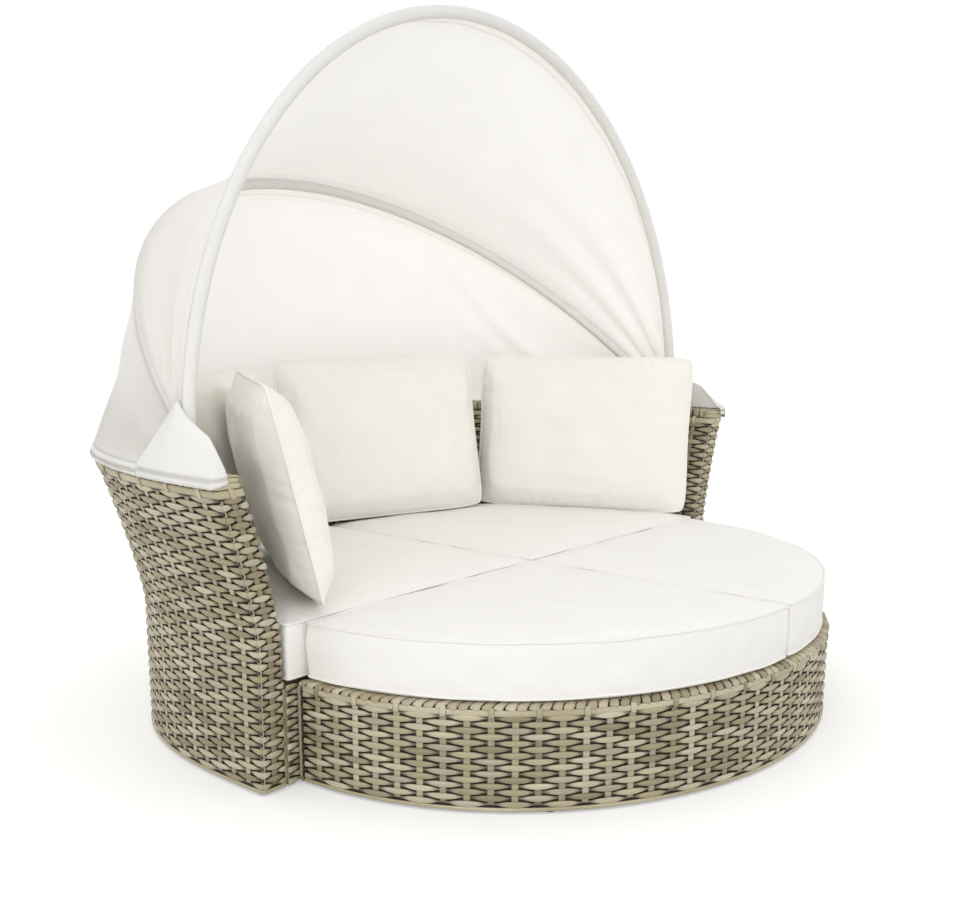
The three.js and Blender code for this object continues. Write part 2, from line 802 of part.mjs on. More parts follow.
// A cloth panel from a hoop's sleeve to a far edge, as two grids a cloth's thickness apart.
function panel(from, sag, farEdge) {
  const angles = hoopAngles(from);
  const landings = angles.map((_, k) => farEdge(k));
  const sleeves = angles.map((angle) => from.frame(angle));
  const spans = sleeves.map((frame, k) => {
    const { out, inner } = landings[k];
    const start = sleevePoints(frame, sleeveInner, wrapEighths).at(-1);
    return spanShares.map((share) => {
      const lift = frame.out.clone().lerp(out, share).normalize();
      const fall = drop(sag, share, k / hoopSteps);
      return start.clone().lerp(inner[0], share).addScaledVector(lift, -fall);
    });
  });
  const face = (distance, middle, edge) => sleeves.map((frame, k) =>
    [...sleevePoints(frame, distance, wrapEighths), ...middle[k], ...landings[k][edge]]);
  return thickSheet(
    face(sleeveOuter, raised(spans, clothThickness), 'outer'),
    face(sleeveInner, spans, 'inner'),
  );
}

// The front panel laps over the middle hoop's sleeve.
function canopyFrontPanel() {
  const angles = hoopAngles(midHoop);
  return panel(frontHoop, frontPanelSag, (k) => {
    const frame = midHoop.frame(angles[k]);
    const inner = sleevePoints(frame, sleeveOuter + restGap, lapEighths);
    const outer = sleevePoints(frame, sleeveOuter + restGap + sleeveThickness, lapEighths);
    return { out: frame.out, inner, outer };
  });
}

// The rear panel comes down on the skirt along the rim, behind the pivots.
function canopyRearPanel() {
  const height = backHeight + skirtStandOff + restGap;
  const outline = wallOutline(backHeight);
  const foot = angleBehind(pivotBehindFront + 2 * flattenLength, backHeight);
  const angles = evenAngles(outline, hoopSteps, foot, Math.PI - foot);
  return panel(midHoop, rearPanelSag, (k) => {
    const inner = insetPoint(outline, angles[k], rimRound + sleeveThickness).setZ(height);
    const outer = insetPoint(outline, angles[k], rimRound).setZ(height);
    return { out: outer.clone().sub(inner).normalize(), inner: [inner], outer: [outer] };
  });
}

// The skirt lies on the rim's outer half and hangs down outside it.
function canopySkirt() {
  const upTo = rimProfile.slice(1, 4);
  const profile = [[0, backHeight - skirtDrop], ...upTo, [skirtInset, backHeight]];
  return sheetAlong(
    wallAngles,
    wallAt(skirtFrontGap),
    offsetProfile(profile, skirtStandOff),
    offsetProfile(profile, restGap),
  );
}

// The flap between a front hoop's leg and the arm's end, standing on the skirt.
function canopyFlap(side) {
  const low = backHeight + skirtStandOff + restGap;
  const outline = wallOutline(backHeight);
  const legX = frontHoop.halfWidth + sleeveOuter + 2 * restGap;
  const grid = (outward) => flapShares.map((share) => {
    const behind = lerp(pivotBehindFront + tubeRadius, skirtFrontGap, share);
    const foot = insetPoint(outline, angleBehind(behind, backHeight), flapInset).setZ(low);
    const rise = flapHeight * (1 - share) ** flapPower + flapTipHeight;
    const tip = vec(lerp(legX, foot.x, share), foot.y, low + rise);
    return flapRiseShares.map((up) => {
      const point = foot.clone().lerp(tip, up);
      return vec(side * (point.x + outward), point.y, point.z);
    });
  });
  return thickSheet(grid(fabricThickness), grid(0));
}

// Cushions and pillows

const cushionSideShares = [[0, 1], [0.09, 0], [0.5, 1], [0.91, 0], [1, 1]];
const cushionCrownShares = [[0.06, 0.42], [0.16, 0.78], [0.34, 1], [0.7, 1]];

// A boxed cushion inside an outline: sides drawn in between two seams, and a crown on top.
function cushion(outline) {
  const middle = outline.reduce((sum, p) => sum.add(p), vec(0, 0, 0)).divideScalar(outline.length);
  const low = baseHeight + restGap;
  const seam = seatHeight - cushionCrown;
  const drawn = (distance, z) => outline.map((point) => {
    const inward = middle.clone().sub(point).setZ(0).setLength(distance);
    return point.clone().add(inward).setZ(z);
  });
  const sides = cushionSideShares.map(([up, inShare]) =>
    drawn(cushionDrawIn * inShare, lerp(low, seam, up)));
  const crown = cushionCrownShares.map(([inShare, upShare]) =>
    outline.map((point) => point.clone().lerp(middle, inShare)
      .setZ(lerp(seam, seatHeight, upShare))));
  return loft([...sides, ...crown]);
}

// Points from one place to another, without the last.
const straight = (from, to, count) =>
  Array.from({ length: count }, (_, k) => from.clone().lerp(to, k / count));

// A quarter of a round seat: a curved edge, closed by two straight ones that meet at a corner.
function quarterCushion(curve, corner, side) {
  const kept = curve.map((point) => vec(Math.max(point.x, cushionGap / 2), point.y, 0));
  const outline = [
    ...kept.slice(0, -1),
    ...straight(kept.at(-1), corner, cushionEdgeSteps),
    ...straight(corner, kept[0], cushionEdgeSteps),
  ];
  return cushion(side > 0 ? outline : outline.map(({ x, y }) => vec(-x, y, 0)).reverse());
}

function sofaCushion(side) {
  const at = wallAt(cushionGap / 2);
  const curve = wallAngles.slice(0, wallColumns / 2 + 1)
    .map((_, k) => at(k, wallThickness + cushionGap, baseHeight));
  curve[0].setY(seamY + cushionGap / 2);
  return quarterCushion(curve, vec(cushionGap / 2, seamY + cushionGap / 2, 0), side);
}

function ottomanCushion(side) {
  const at = ottomanAt(cushionGap / 2);
  const curve = ottomanAngles.slice(0, ottomanColumns / 2 + 1)
    .map((_, k) => at(k, cushionInset, 0));
  curve[0].setY(ottomanBackY - cushionGap / 2);
  return quarterCushion(curve, vec(cushionGap / 2, ottomanBackY - cushionGap / 2, 0), side);
}

// A knife-edged pillow standing on its lower edge, its front towards -Y.
function pillow() {
  const shares = (count) => Array.from({ length: count + 1 }, (_, k) => 2 * k / count - 1);
  const face = (sign) => shares(pillowColumns).map((u) => shares(pillowRows).map((v) => {
    const full = ((1 - Math.abs(u) ** pillowFullness) * (1 - Math.abs(v) ** pillowFullness))
      ** pillowSoftness;
    const x = pillowWidth / 2 * u * (1 - pillowDrawInShare * (1 - v * v));
    const z = pillowHeight / 2 * v * (1 - pillowDrawInShare * (1 - u * u));
    const half = lerp(pillowEdge, pillowThickness, full) / 2;
    return vec(x, sign * half, z + pillowHeight / 2);
  }));
  return thickSheet(face(-1), face(1));
}

// The set

const daybed = new THREE.Group();

function add(name, geometry, material) {
  const [color, roughness, metalness] = materials[material];
  const look = new THREE.MeshStandardMaterial({ color, roughness, metalness });
  const mesh = new THREE.Mesh(geometry, look);
  mesh.name = name;
  daybed.add(mesh);
  return mesh;
}

add('sofa_floor_ring', wallRing(coreStart, coreEnd, glideHeight, floorRailTop), 'frame');
add('sofa_seat_ring', seatRing(), 'frame');
add('sofa_back_frame', backFrame(), 'frame');
add('sofa_seat_deck', sofaDeck(), 'weave');
add('outer_back_weave', outerWeave(), 'weave');
add('inner_back_weave', innerWeave(), 'weave');
add('back_rim_weave', rimWeave(), 'weave');
add('right_arm_end_weave', armEndWeave(1), 'weave');
add('left_arm_end_weave', armEndWeave(-1), 'weave');
add('sofa_front_weave', sofaFrontWeave(), 'weave');
sofaGlides().forEach((body, n) => add(`sofa_glide_${n + 1}`, body, 'glide'));

add('ottoman_floor_ring', ottomanFloorRing(), 'frame');
add('ottoman_top_ring', ottomanTopRing(), 'frame');
add('ottoman_deck', ottomanDeck(), 'weave');
add('ottoman_side_weave', ottomanSideWeave(), 'weave');
add('ottoman_edge_weave', ottomanEdgeWeave(), 'weave');
add('ottoman_back_weave', ottomanBackWeave(), 'weave');
ottomanGlides().forEach((body, n) => add(`ottoman_glide_${n + 1}`, body, 'glide'));

for (const [name, side] of [['right', 1], ['left', -1]]) {
  add(`${name}_canopy_bracket`, bracket(side), 'steel');
  add(`${name}_pivot_bolt`, pivotBolt(side), 'steel');
  add(`${name}_outer_spacer`, spacer(frontTabOuter, lugInner, side), 'steel');
  add(`${name}_inner_spacer`, spacer(midTabOuter, frontTabInner, side), 'steel');
  add(`${name}_cap_nut`, capNut(side), 'steel');
  add(`${name}_canopy_flap`, canopyFlap(side), 'canopy');
  add(`${name}_sofa_cushion`, sofaCushion(side), 'cushion');
  add(`${name}_ottoman_cushion`, ottomanCushion(side), 'cushion');
}

add('front_hoop_tube', hoopTube(frontHoop), 'hoop');
add('middle_hoop_tube', hoopTube(midHoop), 'hoop');
add('canopy_front_panel', canopyFrontPanel(), 'canopy');
add('canopy_rear_panel', canopyRearPanel(), 'canopy');
add('canopy_skirt', canopySkirt(), 'canopy');

// Each pillow stands on the seat, turned and leaning back; side 1 is the right, -1 the left.
function addPillow(name, side, { across, behind, turn, lean, settle }) {
  const mesh = add(name, pillow(), 'cushion');
  mesh.rotation.set(-degToRad(lean), 0, -side * degToRad(turn), 'ZXY');
  mesh.updateMatrixWorld();
  const low = new THREE.Box3().setFromObject(mesh, true).min.z;
  mesh.position.set(
    side * across * seatHalfWidth,
    seamY + behind * seatDepth,
    seatHeight + restGap - settle - low,
  );
}

addPillow('right_side_pillow', 1, rightSidePillow);
addPillow('right_back_pillow', 1, rightBackPillow);
addPillow('left_back_pillow', -1, leftBackPillow);
addPillow('left_side_pillow', -1, leftSidePillow);

export default daybed;
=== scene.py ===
"""Looks of the round woven daybed: a flared sofa, a half-moon ottoman and a folding cloth canopy."""

import math

import bmesh
import bpy
import numpy as np
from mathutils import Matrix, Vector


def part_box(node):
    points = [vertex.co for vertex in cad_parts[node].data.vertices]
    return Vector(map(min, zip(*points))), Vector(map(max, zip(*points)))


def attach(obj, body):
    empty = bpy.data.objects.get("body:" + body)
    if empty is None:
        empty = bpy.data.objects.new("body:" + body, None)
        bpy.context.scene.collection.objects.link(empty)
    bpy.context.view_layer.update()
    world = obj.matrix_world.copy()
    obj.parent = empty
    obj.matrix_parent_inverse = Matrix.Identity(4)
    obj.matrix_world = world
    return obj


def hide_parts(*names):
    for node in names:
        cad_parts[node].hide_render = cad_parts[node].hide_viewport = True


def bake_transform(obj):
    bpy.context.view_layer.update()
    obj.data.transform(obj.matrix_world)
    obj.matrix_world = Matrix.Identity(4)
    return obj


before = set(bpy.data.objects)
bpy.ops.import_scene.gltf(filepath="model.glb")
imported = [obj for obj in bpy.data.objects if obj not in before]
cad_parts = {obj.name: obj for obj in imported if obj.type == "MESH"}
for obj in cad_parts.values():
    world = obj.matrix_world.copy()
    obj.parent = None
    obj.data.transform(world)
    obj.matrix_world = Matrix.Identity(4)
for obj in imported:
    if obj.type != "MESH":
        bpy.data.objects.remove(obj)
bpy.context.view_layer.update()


# The camera stands about a metre high in front of the left arm, as it did for the photograph. Its
# lens and shift give the photograph's framing.
def placed(name, data):
    """An object in the scene that shows a mesh, a lamp or a camera."""
    made = bpy.data.objects.new(name, data)
    bpy.context.scene.collection.objects.link(made)
    return made


camera = placed("camera", bpy.data.cameras.new("camera"))
bpy.context.scene.camera = camera
camera.location = (-2.347, -1.905, 0.984)
camera.rotation_euler = (math.radians(90 - 11.95), 0, math.radians(-49.51))
camera.data.sensor_width = 36
camera.data.lens = 43.35
camera.data.shift_x = 0.0311
camera.data.shift_y = 0.1043


# The studio is a pale floor under an even white sky. One wide soft lamp stands at the camera's left
# shoulder and a weak one far to its right, and one behind the set shines through the canopy. The
# floor shows white, to the eye and in the metal, and keeps the daybed's shadow.
def linear(code):
    """An sRGB hex colour as linear red, green, blue and alpha."""
    shares = [int(code[k:k + 2], 16) / 255 for k in (1, 3, 5)]
    return [s / 12.92 if s <= 0.04045 else ((s + 0.055) / 1.055) ** 2.4 for s in shares] + [1.0]


def set_inputs(tree, node, inputs):
    """Each input that is named gets its value, or a link from a node or from one socket of it."""
    for name, value in inputs.items():
        if isinstance(value, bpy.types.Node):
            value = value.outputs[0]
        if isinstance(value, bpy.types.NodeSocket):
            tree.links.new(value, node.inputs[name])
        else:
            node.inputs[name].default_value = value


def add_node(tree, kind, inputs=None, **settings):
    """A node with its settings and its inputs."""
    made = tree.nodes.new("ShaderNode" + kind)
    for name, value in settings.items():
        setattr(made, name, value)
    set_inputs(tree, made, inputs or {})
    return made


def new_material(name):
    """An empty material with its node tree and its surface shader."""
    made = bpy.data.materials.new(name)
    made.use_nodes = True
    tree = made.node_tree
    return made, tree, tree.nodes["Principled BSDF"]


bpy.context.scene.view_settings.view_transform = "Standard"
world = bpy.data.worlds.new("studio")
bpy.context.scene.world = world
world.use_nodes = True
set_inputs(world.node_tree, world.node_tree.nodes["Background"],
           {"Color": linear("#FFFFFF"), "Strength": 1.0})

floor_half = 9.0
floor_lift = 0.34
floor_mesh = bpy.data.meshes.new("floor")
floor_mesh.from_pydata([(-floor_half, -floor_half, 0), (floor_half, -floor_half, 0),
                        (floor_half, floor_half, 0), (-floor_half, floor_half, 0)], [], [(0, 1, 2, 3)])
placed("floor", floor_mesh)
floor_paint, tree, shader = new_material("pale_floor_paint")
floor_rays = add_node(tree, "LightPath")
seen = floor_rays.outputs["Is Camera Ray"]
for ray in ("Is Glossy Ray", "Is Transmission Ray"):
    seen = add_node(tree, "Math", {0: seen, 1: floor_rays.outputs[ray]}, operation="MAXIMUM")
lifted = add_node(tree, "Math", {0: seen, 1: floor_lift}, operation="MULTIPLY")
set_inputs(tree, shader, {"Base Color": linear("#DEDEDC"), "Roughness": 0.9, "Specular IOR Level": 0.0,
                          "Emission Color": linear("#FFFFFF"), "Emission Strength": lifted})
floor_mesh.materials.append(floor_paint)


def soft_lamp(name, place, target, size, power):
    """A square area lamp that faces a target."""
    lamp = placed(name, bpy.data.lights.new(name, "AREA"))
    lamp.data.shape = "SQUARE"
    lamp.data.size = size
    lamp.data.energy = power
    lamp.location = place
    away = np.array(place, float) - np.array(target, float)
    flat = math.hypot(away[0], away[1])
    lamp.rotation_euler = (math.atan2(flat, away[2]), 0, math.atan2(away[0], -away[1]))


soft_lamp("key_lamp", (-4.1, -2.6, 2.0), (0, 0, 0.8), 2.6, 42)
soft_lamp("side_lamp", (2.4, -4.0, 1.5), (0, 0, 0.8), 2.4, 4)
soft_lamp("back_lamp", (1.5, 4.2, 2.4), (0, 0.4, 1.0), 2.6, 34)


# Glides and frames: the moulded polyethylene glides stand on the floor and carry rings of welded
# aluminium tube, powder coated dark brown. They stay the solids of the frame, with a finish.
def satin_skin(name, colours, roughness, grain_mm):
    """Powder coating or moulded plastic: an even satin skin with a fine orange peel."""
    made, tree, shader = new_material(name)
    place = add_node(tree, "TexCoord")
    peel = add_node(tree, "TexNoise", {"Vector": place.outputs["Object"],
                                       "Scale": 1000 / grain_mm, "Detail": 2.0})
    tint = add_node(tree, "MixRGB", {"Fac": peel, "Color1": linear(colours[0]),
                                     "Color2": linear(colours[1])})
    dent = add_node(tree, "Bump", {"Height": peel, "Strength": 0.12, "Distance": 0.001})
    set_inputs(tree, shader, {"Base Color": tint, "Normal": dent, "Roughness": roughness})
    return made


def finish_nodes(material, names):
    """Gives solids of the frame their finish."""
    for name in names:
        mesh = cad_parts[name].data
        mesh.materials.clear()
        mesh.materials.append(material)


frame_coat = satin_skin("powder_coated_aluminium", ("#3A342C", "#443D33"), 0.45, 1.2)
glide_plastic = satin_skin("moulded_polyethylene", ("#23221F", "#2C2B28"), 0.5, 0.8)
finish_nodes(frame_coat, ["sofa_floor_ring", "sofa_seat_ring", "sofa_back_frame",
                          "ottoman_floor_ring", "ottoman_top_ring"])
finish_nodes(glide_plastic, [f"sofa_glide_{n}" for n in range(1, 7)]
             + [f"ottoman_glide_{n}" for n in range(1, 6)])


# The woven skins: half-round strands of weathered grey-beige polyethylene rattan, woven over and
# under flat upright stakes. The wall's plan widens from its foot to its shoulder, and each row runs
# from the outside round the arm's end to the inside without a break.
seam_y = -0.160
wall_thickness = 0.072
shoulder_height = 0.656
flare_start = 0.46
flare_power = 1.4
foot_half, foot_depth, foot_squareness = 0.905, 0.824, 2.8
shoulder_half, shoulder_depth, shoulder_squareness = 0.9977, 1.0377, 2.35
curve_step = 0.002
row_pitch = 0.0128
weave_middle = 0.004
strand_section = np.array([(-1.0, -0.1), (-0.78, 0.62), (-0.28, 1.0), (0.28, 1.0), (0.78, 0.62),
                           (1.0, -0.1), (0.0, -0.45)])


def unit(vectors):
    """Vectors made one long."""
    return vectors / np.maximum(np.linalg.norm(vectors, axis=-1, keepdims=True), 1e-12)


def lengths_along(points):
    """The way along a line of points to each of them."""
    return np.concatenate([[0], np.cumsum(np.linalg.norm(np.diff(points, axis=0), axis=1))])


def half_oval(half, depth, squareness, middle_y):
    """A half oval from right to left round the back, squarer than an ellipse above 2."""
    turn = np.linspace(0, math.pi, 1600)
    x = half * np.sign(np.cos(turn)) * np.abs(np.cos(turn)) ** (2 / squareness)
    return np.stack([x, middle_y + depth * np.abs(np.sin(turn)) ** (2 / squareness)], 1)


def wall_outline(z):
    """The wall's outer outline at a height, and its half width there."""
    share = (min(z / shoulder_height, 1) - flare_start) / (1 - flare_start)
    flare = max(share, 0) ** flare_power
    half, depth, squareness = [low + (high - low) * flare for low, high in (
        (foot_half, shoulder_half), (foot_depth, shoulder_depth), (foot_squareness, shoulder_squareness))]
    return half_oval(half, depth, squareness, seam_y), half


def wall_loop(z):
    """The middle of the woven skins at a height, as a loop with round corners: the outside from
    the right arm to the left, the left arm's end, the inside, and the right arm's end."""
    outline, half = wall_outline(z)
    along = unit(np.gradient(outline, axis=0))
    out = np.stack([along[:, 1], -along[:, 0]], 1)
    front_y = seam_y + weave_middle
    sides = []
    for inset in (weave_middle, wall_thickness - weave_middle):
        side = outline - out * inset
        side = side[side[:, 1] > front_y]
        sides.append(np.vstack([[half - inset, front_y], side, [inset - half, front_y]]))
    loop = np.vstack([sides[0], sides[1][::-1], sides[0][:1]])
    reach = lengths_along(loop)
    marks = [0, reach[len(sides[0]) - 1], reach[len(sides[0])], reach[-2], reach[-1]]
    steps = np.linspace(0, reach[-1], int(reach[-1] / curve_step), endpoint=False)
    even = np.stack([np.interp(steps, reach, loop[:, k]) for k in (0, 1)], 1)
    window = np.ones(7) / 7
    for _ in range(2):
        padded = np.vstack([even[-3:], even, even[:3]])
        even = np.stack([np.convolve(padded[:, k], window, "valid") for k in (0, 1)], 1)
    return steps, even, marks


outside_gaps, end_gaps, inside_gaps = 60, 2, 52
stake_marks = np.cumsum([0, outside_gaps, end_gaps, inside_gaps, end_gaps])
per_stake = 4


def wall_points(places, heights):
    """The wall's points at places counted in stakes along the loop, for each height."""
    rows = []
    for z in heights:
        steps, even, marks = wall_loop(z)
        reach = np.interp(places % stake_marks[-1], stake_marks, marks)
        rows.append(np.stack([np.interp(reach, steps, even[:, k], period=marks[-1]) for k in (0, 1)]
                             + [np.full(len(places), z)], 1))
    return np.array(rows)


def smooth_mesh(name, points, faces, material):
    """A smooth mesh in one material."""
    mesh = bpy.data.meshes.new(name)
    mesh.from_pydata(points.tolist(), [], faces)
    mesh.shade_smooth()
    mesh.materials.append(material)
    return mesh


def keep_place(mesh, name, place):
    """Writes down three numbers for each point of a mesh, for its material to read."""
    mesh.attributes.new(name, "FLOAT_VECTOR", "POINT").data.foreach_set(
        "vector", place.astype(np.float32).ravel())


def tube_mesh(name, parts, material):
    """One mesh of closed strands. A part holds points, across and out directions, half widths,
    thicknesses, tone and painted shade, each for rows of strands by samples along them."""
    points, faces, places, painted_shades, start = [], [], [], [], 0
    ring = len(strand_section)
    for path, across, out, half_width, thickness, tone, shade in parts:
        rows, samples = path.shape[:2]
        reach = np.concatenate([np.zeros((rows, 1)), np.cumsum(
            np.linalg.norm(np.diff(path, axis=1), axis=2), axis=1)], 1)
        side = strand_section[:, 0] * half_width[..., None]
        rise = strand_section[:, 1] * thickness[..., None]
        ringed = (path[:, :, None] + across[:, :, None] * side[..., None]
                  + out[:, :, None] * rise[..., None])
        points.append(ringed.reshape(-1, 3))
        places.append(np.stack([np.broadcast_to(reach[..., None], side.shape), side,
                                np.broadcast_to(tone[..., None], side.shape)], -1).reshape(-1, 3))
        # Painted light and shade: each strand's outer face is drawn lighter and its sides and underside
        # darker, on top of the part's painted shade.
        painted_light_and_shade = shade[..., None] + 0.35 * np.maximum(strand_section[:, 1], 0) - 0.2
        painted_shades.append(np.clip(painted_light_and_shade, 0, 1).reshape(-1))
        index = start + np.arange(rows * samples * ring).reshape(rows, samples, ring)
        near, far = index[:, :-1], index[:, 1:]
        quads = np.stack([near, np.roll(near, -1, 2), np.roll(far, -1, 2), far], -1)
        faces += quads.reshape(-1, 4).tolist()
        faces += index[:, 0, ::-1].tolist() + index[:, -1].tolist()
        start += rows * samples * ring
    mesh = smooth_mesh(name, np.vstack(points), faces, material)
    keep_place(mesh, "strand_place", np.vstack(places))
    mesh.attributes.new("painted_strand_shade", "FLOAT", "POINT").data.foreach_set(
        "value", np.concatenate(painted_shades).astype(np.float32))
    return placed(name, mesh)


def woven_parts(points, first_place, seed, stakes, first_row=0, spare=0):
    """Rows of strands woven over a grid of points, four samples to a stake, with the stakes and a
    strand behind each gap, painted almost black as shade. Spare samples at both ends only give the direction
    there."""
    float_depth, strand_rise, strand_sunk, strand_share = 0.0024, 0.0021, 0.0006, 0.555
    stake_rise, stake_half, stake_back = 0.0011, 0.0072, 0.0008
    corner_half, corner_back = 0.0042, 0.0030
    backing_rise, backing_back = 0.0006, 0.0042
    tone_rows, tone_columns = 64, 58
    chance = np.random.default_rng(seed)
    rows, samples = points.shape[:2]
    along = unit(np.gradient(points, axis=1))
    rise = np.gradient(points, axis=0)
    row_gap = np.linalg.norm(rise, axis=2)
    out = unit(np.cross(along, unit(rise)))
    across = unit(np.cross(out, along))

    # A float passes over every second stake, and the next row's floats are one stake further on.
    place = first_place + np.arange(samples) / per_stake
    row = np.arange(rows)[:, None] + first_row
    nearest = np.round((place - row) / 2)
    away = np.abs((place - row) / 2 - nearest) * 2
    column = nearest.astype(int) % tone_columns
    tone = chance.random((tone_rows, tone_columns))[row, column]
    swing = np.cos(math.pi * away)
    depth = float_depth * np.sign(swing) * np.abs(swing) ** 0.7
    taper = np.where(away < 0.9, 1 - 0.66 * np.minimum(away / 0.86, 1) ** 1.7, 0.88)
    uneven = 0.95 + 0.1 * chance.random((tone_rows, 1))[row[:, 0]]
    half_width = strand_share * row_gap * taper * uneven
    jitter = 0.0006 * (chance.random((tone_rows, tone_columns))[row, column] - 0.5)
    path = points + out * (depth - strand_sunk)[..., None] + across * jitter[..., None]
    keep = slice(spare, samples - spare)
    # The floats carry painted shade, darkest where each passes behind a stake.
    floats = [values[:, keep] for values in (
        path, across, out, half_width, np.full_like(half_width, strand_rise), tone, 0.5 + 0.5 * swing)]

    # Where the skin turns a corner, the stake is narrower and lies deeper.
    stakes = np.asarray(stakes) + spare
    cut, side, face = [values[:, stakes].transpose(1, 0, 2) for values in (points, along, out)]
    shape = cut.shape[:2]
    before, after = np.maximum(stakes - 1, 0), np.minimum(stakes + 1, samples - 1)
    corner = ((along[:, before] * along[:, after]).sum(2) < 0.8).T
    stake_tone = np.broadcast_to(chance.random((shape[0], 1)), shape)
    cut = cut - face * np.where(corner, corner_back, stake_back)[..., None]
    # The stakes carry a fixed level of painted shade.
    uprights = (cut, -side, face, np.where(corner, corner_half, stake_half),
                np.full(shape, stake_rise), stake_tone, np.full(shape, 0.66))

    # The strand behind each gap is painted almost black, as painted shade in the gaps between the rows.
    ways = [values[1:, keep][:, ::2] for values in (across, out)]
    behind = (path[1:] + path[:-1])[:, keep][:, ::2] / 2 - ways[1] * backing_back
    shape = behind.shape[:2]
    backing = (behind, *ways, 0.5 * row_gap[1:, keep][:, ::2], np.full(shape, backing_rise),
               np.full(shape, 0.3), np.full(shape, 0.02))
    return [floats, uprights, backing]


def rattan(name):
    """Extruded polyethylene rattan: satin, streaked lengthwise, each float a tone of its own,
    and darkened by painted shade between the strands, behind the stakes and on their sides."""
    made, tree, shader = new_material(name)
    place = add_node(tree, "Attribute", attribute_name="strand_place").outputs["Vector"]
    shade = add_node(tree, "Attribute", attribute_name="painted_strand_shade").outputs["Fac"]
    split = add_node(tree, "SeparateXYZ", {0: place})
    tone = add_node(tree, "ValToRGB", {0: split.outputs[2]})
    stops = [(0.0, "#8C8166"), (0.25, "#A4997B"), (0.5, "#B4AA8C"), (0.75, "#C8BFA6"), (1.0, "#A69B87")]
    while len(tone.color_ramp.elements) < len(stops):
        tone.color_ramp.elements.new(0.5)
    for element, (at, code) in zip(tone.color_ramp.elements, stops):
        element.position = at
        element.color = linear(code)
    stretched = add_node(tree, "VectorMath", {0: place, 1: (22.0, 900.0, 40.0)}, operation="MULTIPLY")
    streak = add_node(tree, "TexNoise", {"Vector": stretched, "Scale": 1.0, "Detail": 3.0,
                                         "Roughness": 0.6})
    level = add_node(tree, "MapRange", {"Value": streak, "From Min": 0.3, "From Max": 0.7,
                                        "To Min": 0.8, "To Max": 1.12})
    streaked = add_node(tree, "MixRGB", {"Fac": 1.0, "Color1": tone, "Color2": level},
                        blend_type="MULTIPLY")
    # Painted shade: the value that each point carries turns the colour towards near black where the strands
    # lie in shadow.
    dark = add_node(tree, "ValToRGB", {0: shade})
    for element, (at, code) in zip(dark.color_ramp.elements, [(0.12, "#2B2418"), (0.62, "#FFFFFF")]):
        element.position = at
        element.color = linear(code)
    with_painted_shade = add_node(tree, "MixRGB", {"Fac": 1.0, "Color1": streaked, "Color2": dark},
                     blend_type="MULTIPLY")
    groove = add_node(tree, "Bump", {"Height": streak, "Strength": 0.35, "Distance": 0.0006})
    set_inputs(tree, shader, {"Base Color": with_painted_shade, "Normal": groove, "Roughness": 0.48})
    return made


rattan_strand = rattan("polyethylene_rattan")
lowest_row, highest_row, lowest_inside = 0.0195, 0.624, 0.2
row_heights = np.arange(lowest_row, highest_row, row_pitch)
inside_rows = row_heights[row_heights > lowest_inside]


def wall_weave(name, node, first, last, heights, first_row):
    """A woven skin between two stakes of the wall's loop, standing for a node of the frame."""
    places = np.arange((first - 1) * per_stake, (last + 1) * per_stake + 1) / per_stake
    stakes = np.arange(0, (last - first) * per_stake, per_stake)
    parts = woven_parts(wall_points(places, heights), first - 1, 11, stakes, first_row, per_stake)
    piece = tube_mesh(name, parts, rattan_strand)
    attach(piece, "sofa")
    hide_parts(node)


wall_weave("outside_weave", "outer_back_weave", stake_marks[0], stake_marks[1], row_heights, 0)
wall_weave("left_arm_weave", "left_arm_end_weave", stake_marks[1], stake_marks[2], row_heights, 0)
wall_weave("inside_weave", "inner_back_weave", stake_marks[2], stake_marks[3], inside_rows,
           len(row_heights) - len(inside_rows))
wall_weave("right_arm_weave", "right_arm_end_weave", stake_marks[3], stake_marks[4], row_heights, 0)


# The rim of back and arms: a flat strand runs round the wall's edge and is strapped down at every
# other stake, and slanting strands lie side by side over the top from its outside to its inside.
# Two more flat strands close each arm's end, and one runs along the floor under the lowest row.
def even_curve(points):
    """A flat curve's points evenly spaced, with the directions to their right."""
    reach = lengths_along(points)
    steps = np.linspace(0, reach[-1], int(reach[-1] / curve_step))
    even = np.stack([np.interp(steps, reach, points[:, k]) for k in (0, 1)], 1)
    along = unit(np.gradient(even, axis=0))
    return even, np.stack([along[:, 1], -along[:, 0]], 1)


def wall_edge(z):
    """The wall's outer outline at a height, evenly spaced, and its outward directions."""
    return even_curve(wall_outline(z)[0])


def border_parts(edge, right, profile, seed, pitch=0.023, slant=0.012):
    """Strands side by side over an edge. The profile lists each point's inset and height."""
    strand_rise, strand_sunk, strand_share = 0.0028, 0.0026, 0.45
    chance = np.random.default_rng(seed)
    profile = np.array(profile)
    count = int(len(edge) * curve_step / pitch)
    middle = (np.arange(count) + 0.5) / count * (len(edge) - 1)
    shift = (profile[:, 0] - profile[:, 0].mean()) / np.ptp(profile[:, 0]) * slant / curve_step
    at = np.clip(middle[:, None] + shift, 0, len(edge) - 1).astype(int)
    lift = 0.0007 * chance.random((count, 1))
    flat = edge[at] - right[at] * profile[:, 0][None, :, None]
    path = np.dstack([flat, profile[:, 1] + lift])
    along = unit(np.gradient(path, axis=1))
    tangent = np.stack([-right[at][..., 1], right[at][..., 0], np.zeros(at.shape)], -1)
    out = unit(np.cross(tangent, along))
    across = unit(np.cross(out, along))
    shape = at.shape
    tone = np.broadcast_to(chance.random((count, 1)), shape)
    half = np.full(shape, pitch * strand_share) * (0.92 + 0.1 * chance.random((count, 1)))
    # Each slanting strand carries a fixed level of painted shade.
    return [(path - out * strand_sunk, across, out, half, np.full(shape, strand_rise), tone,
             np.full(shape, 0.7))]


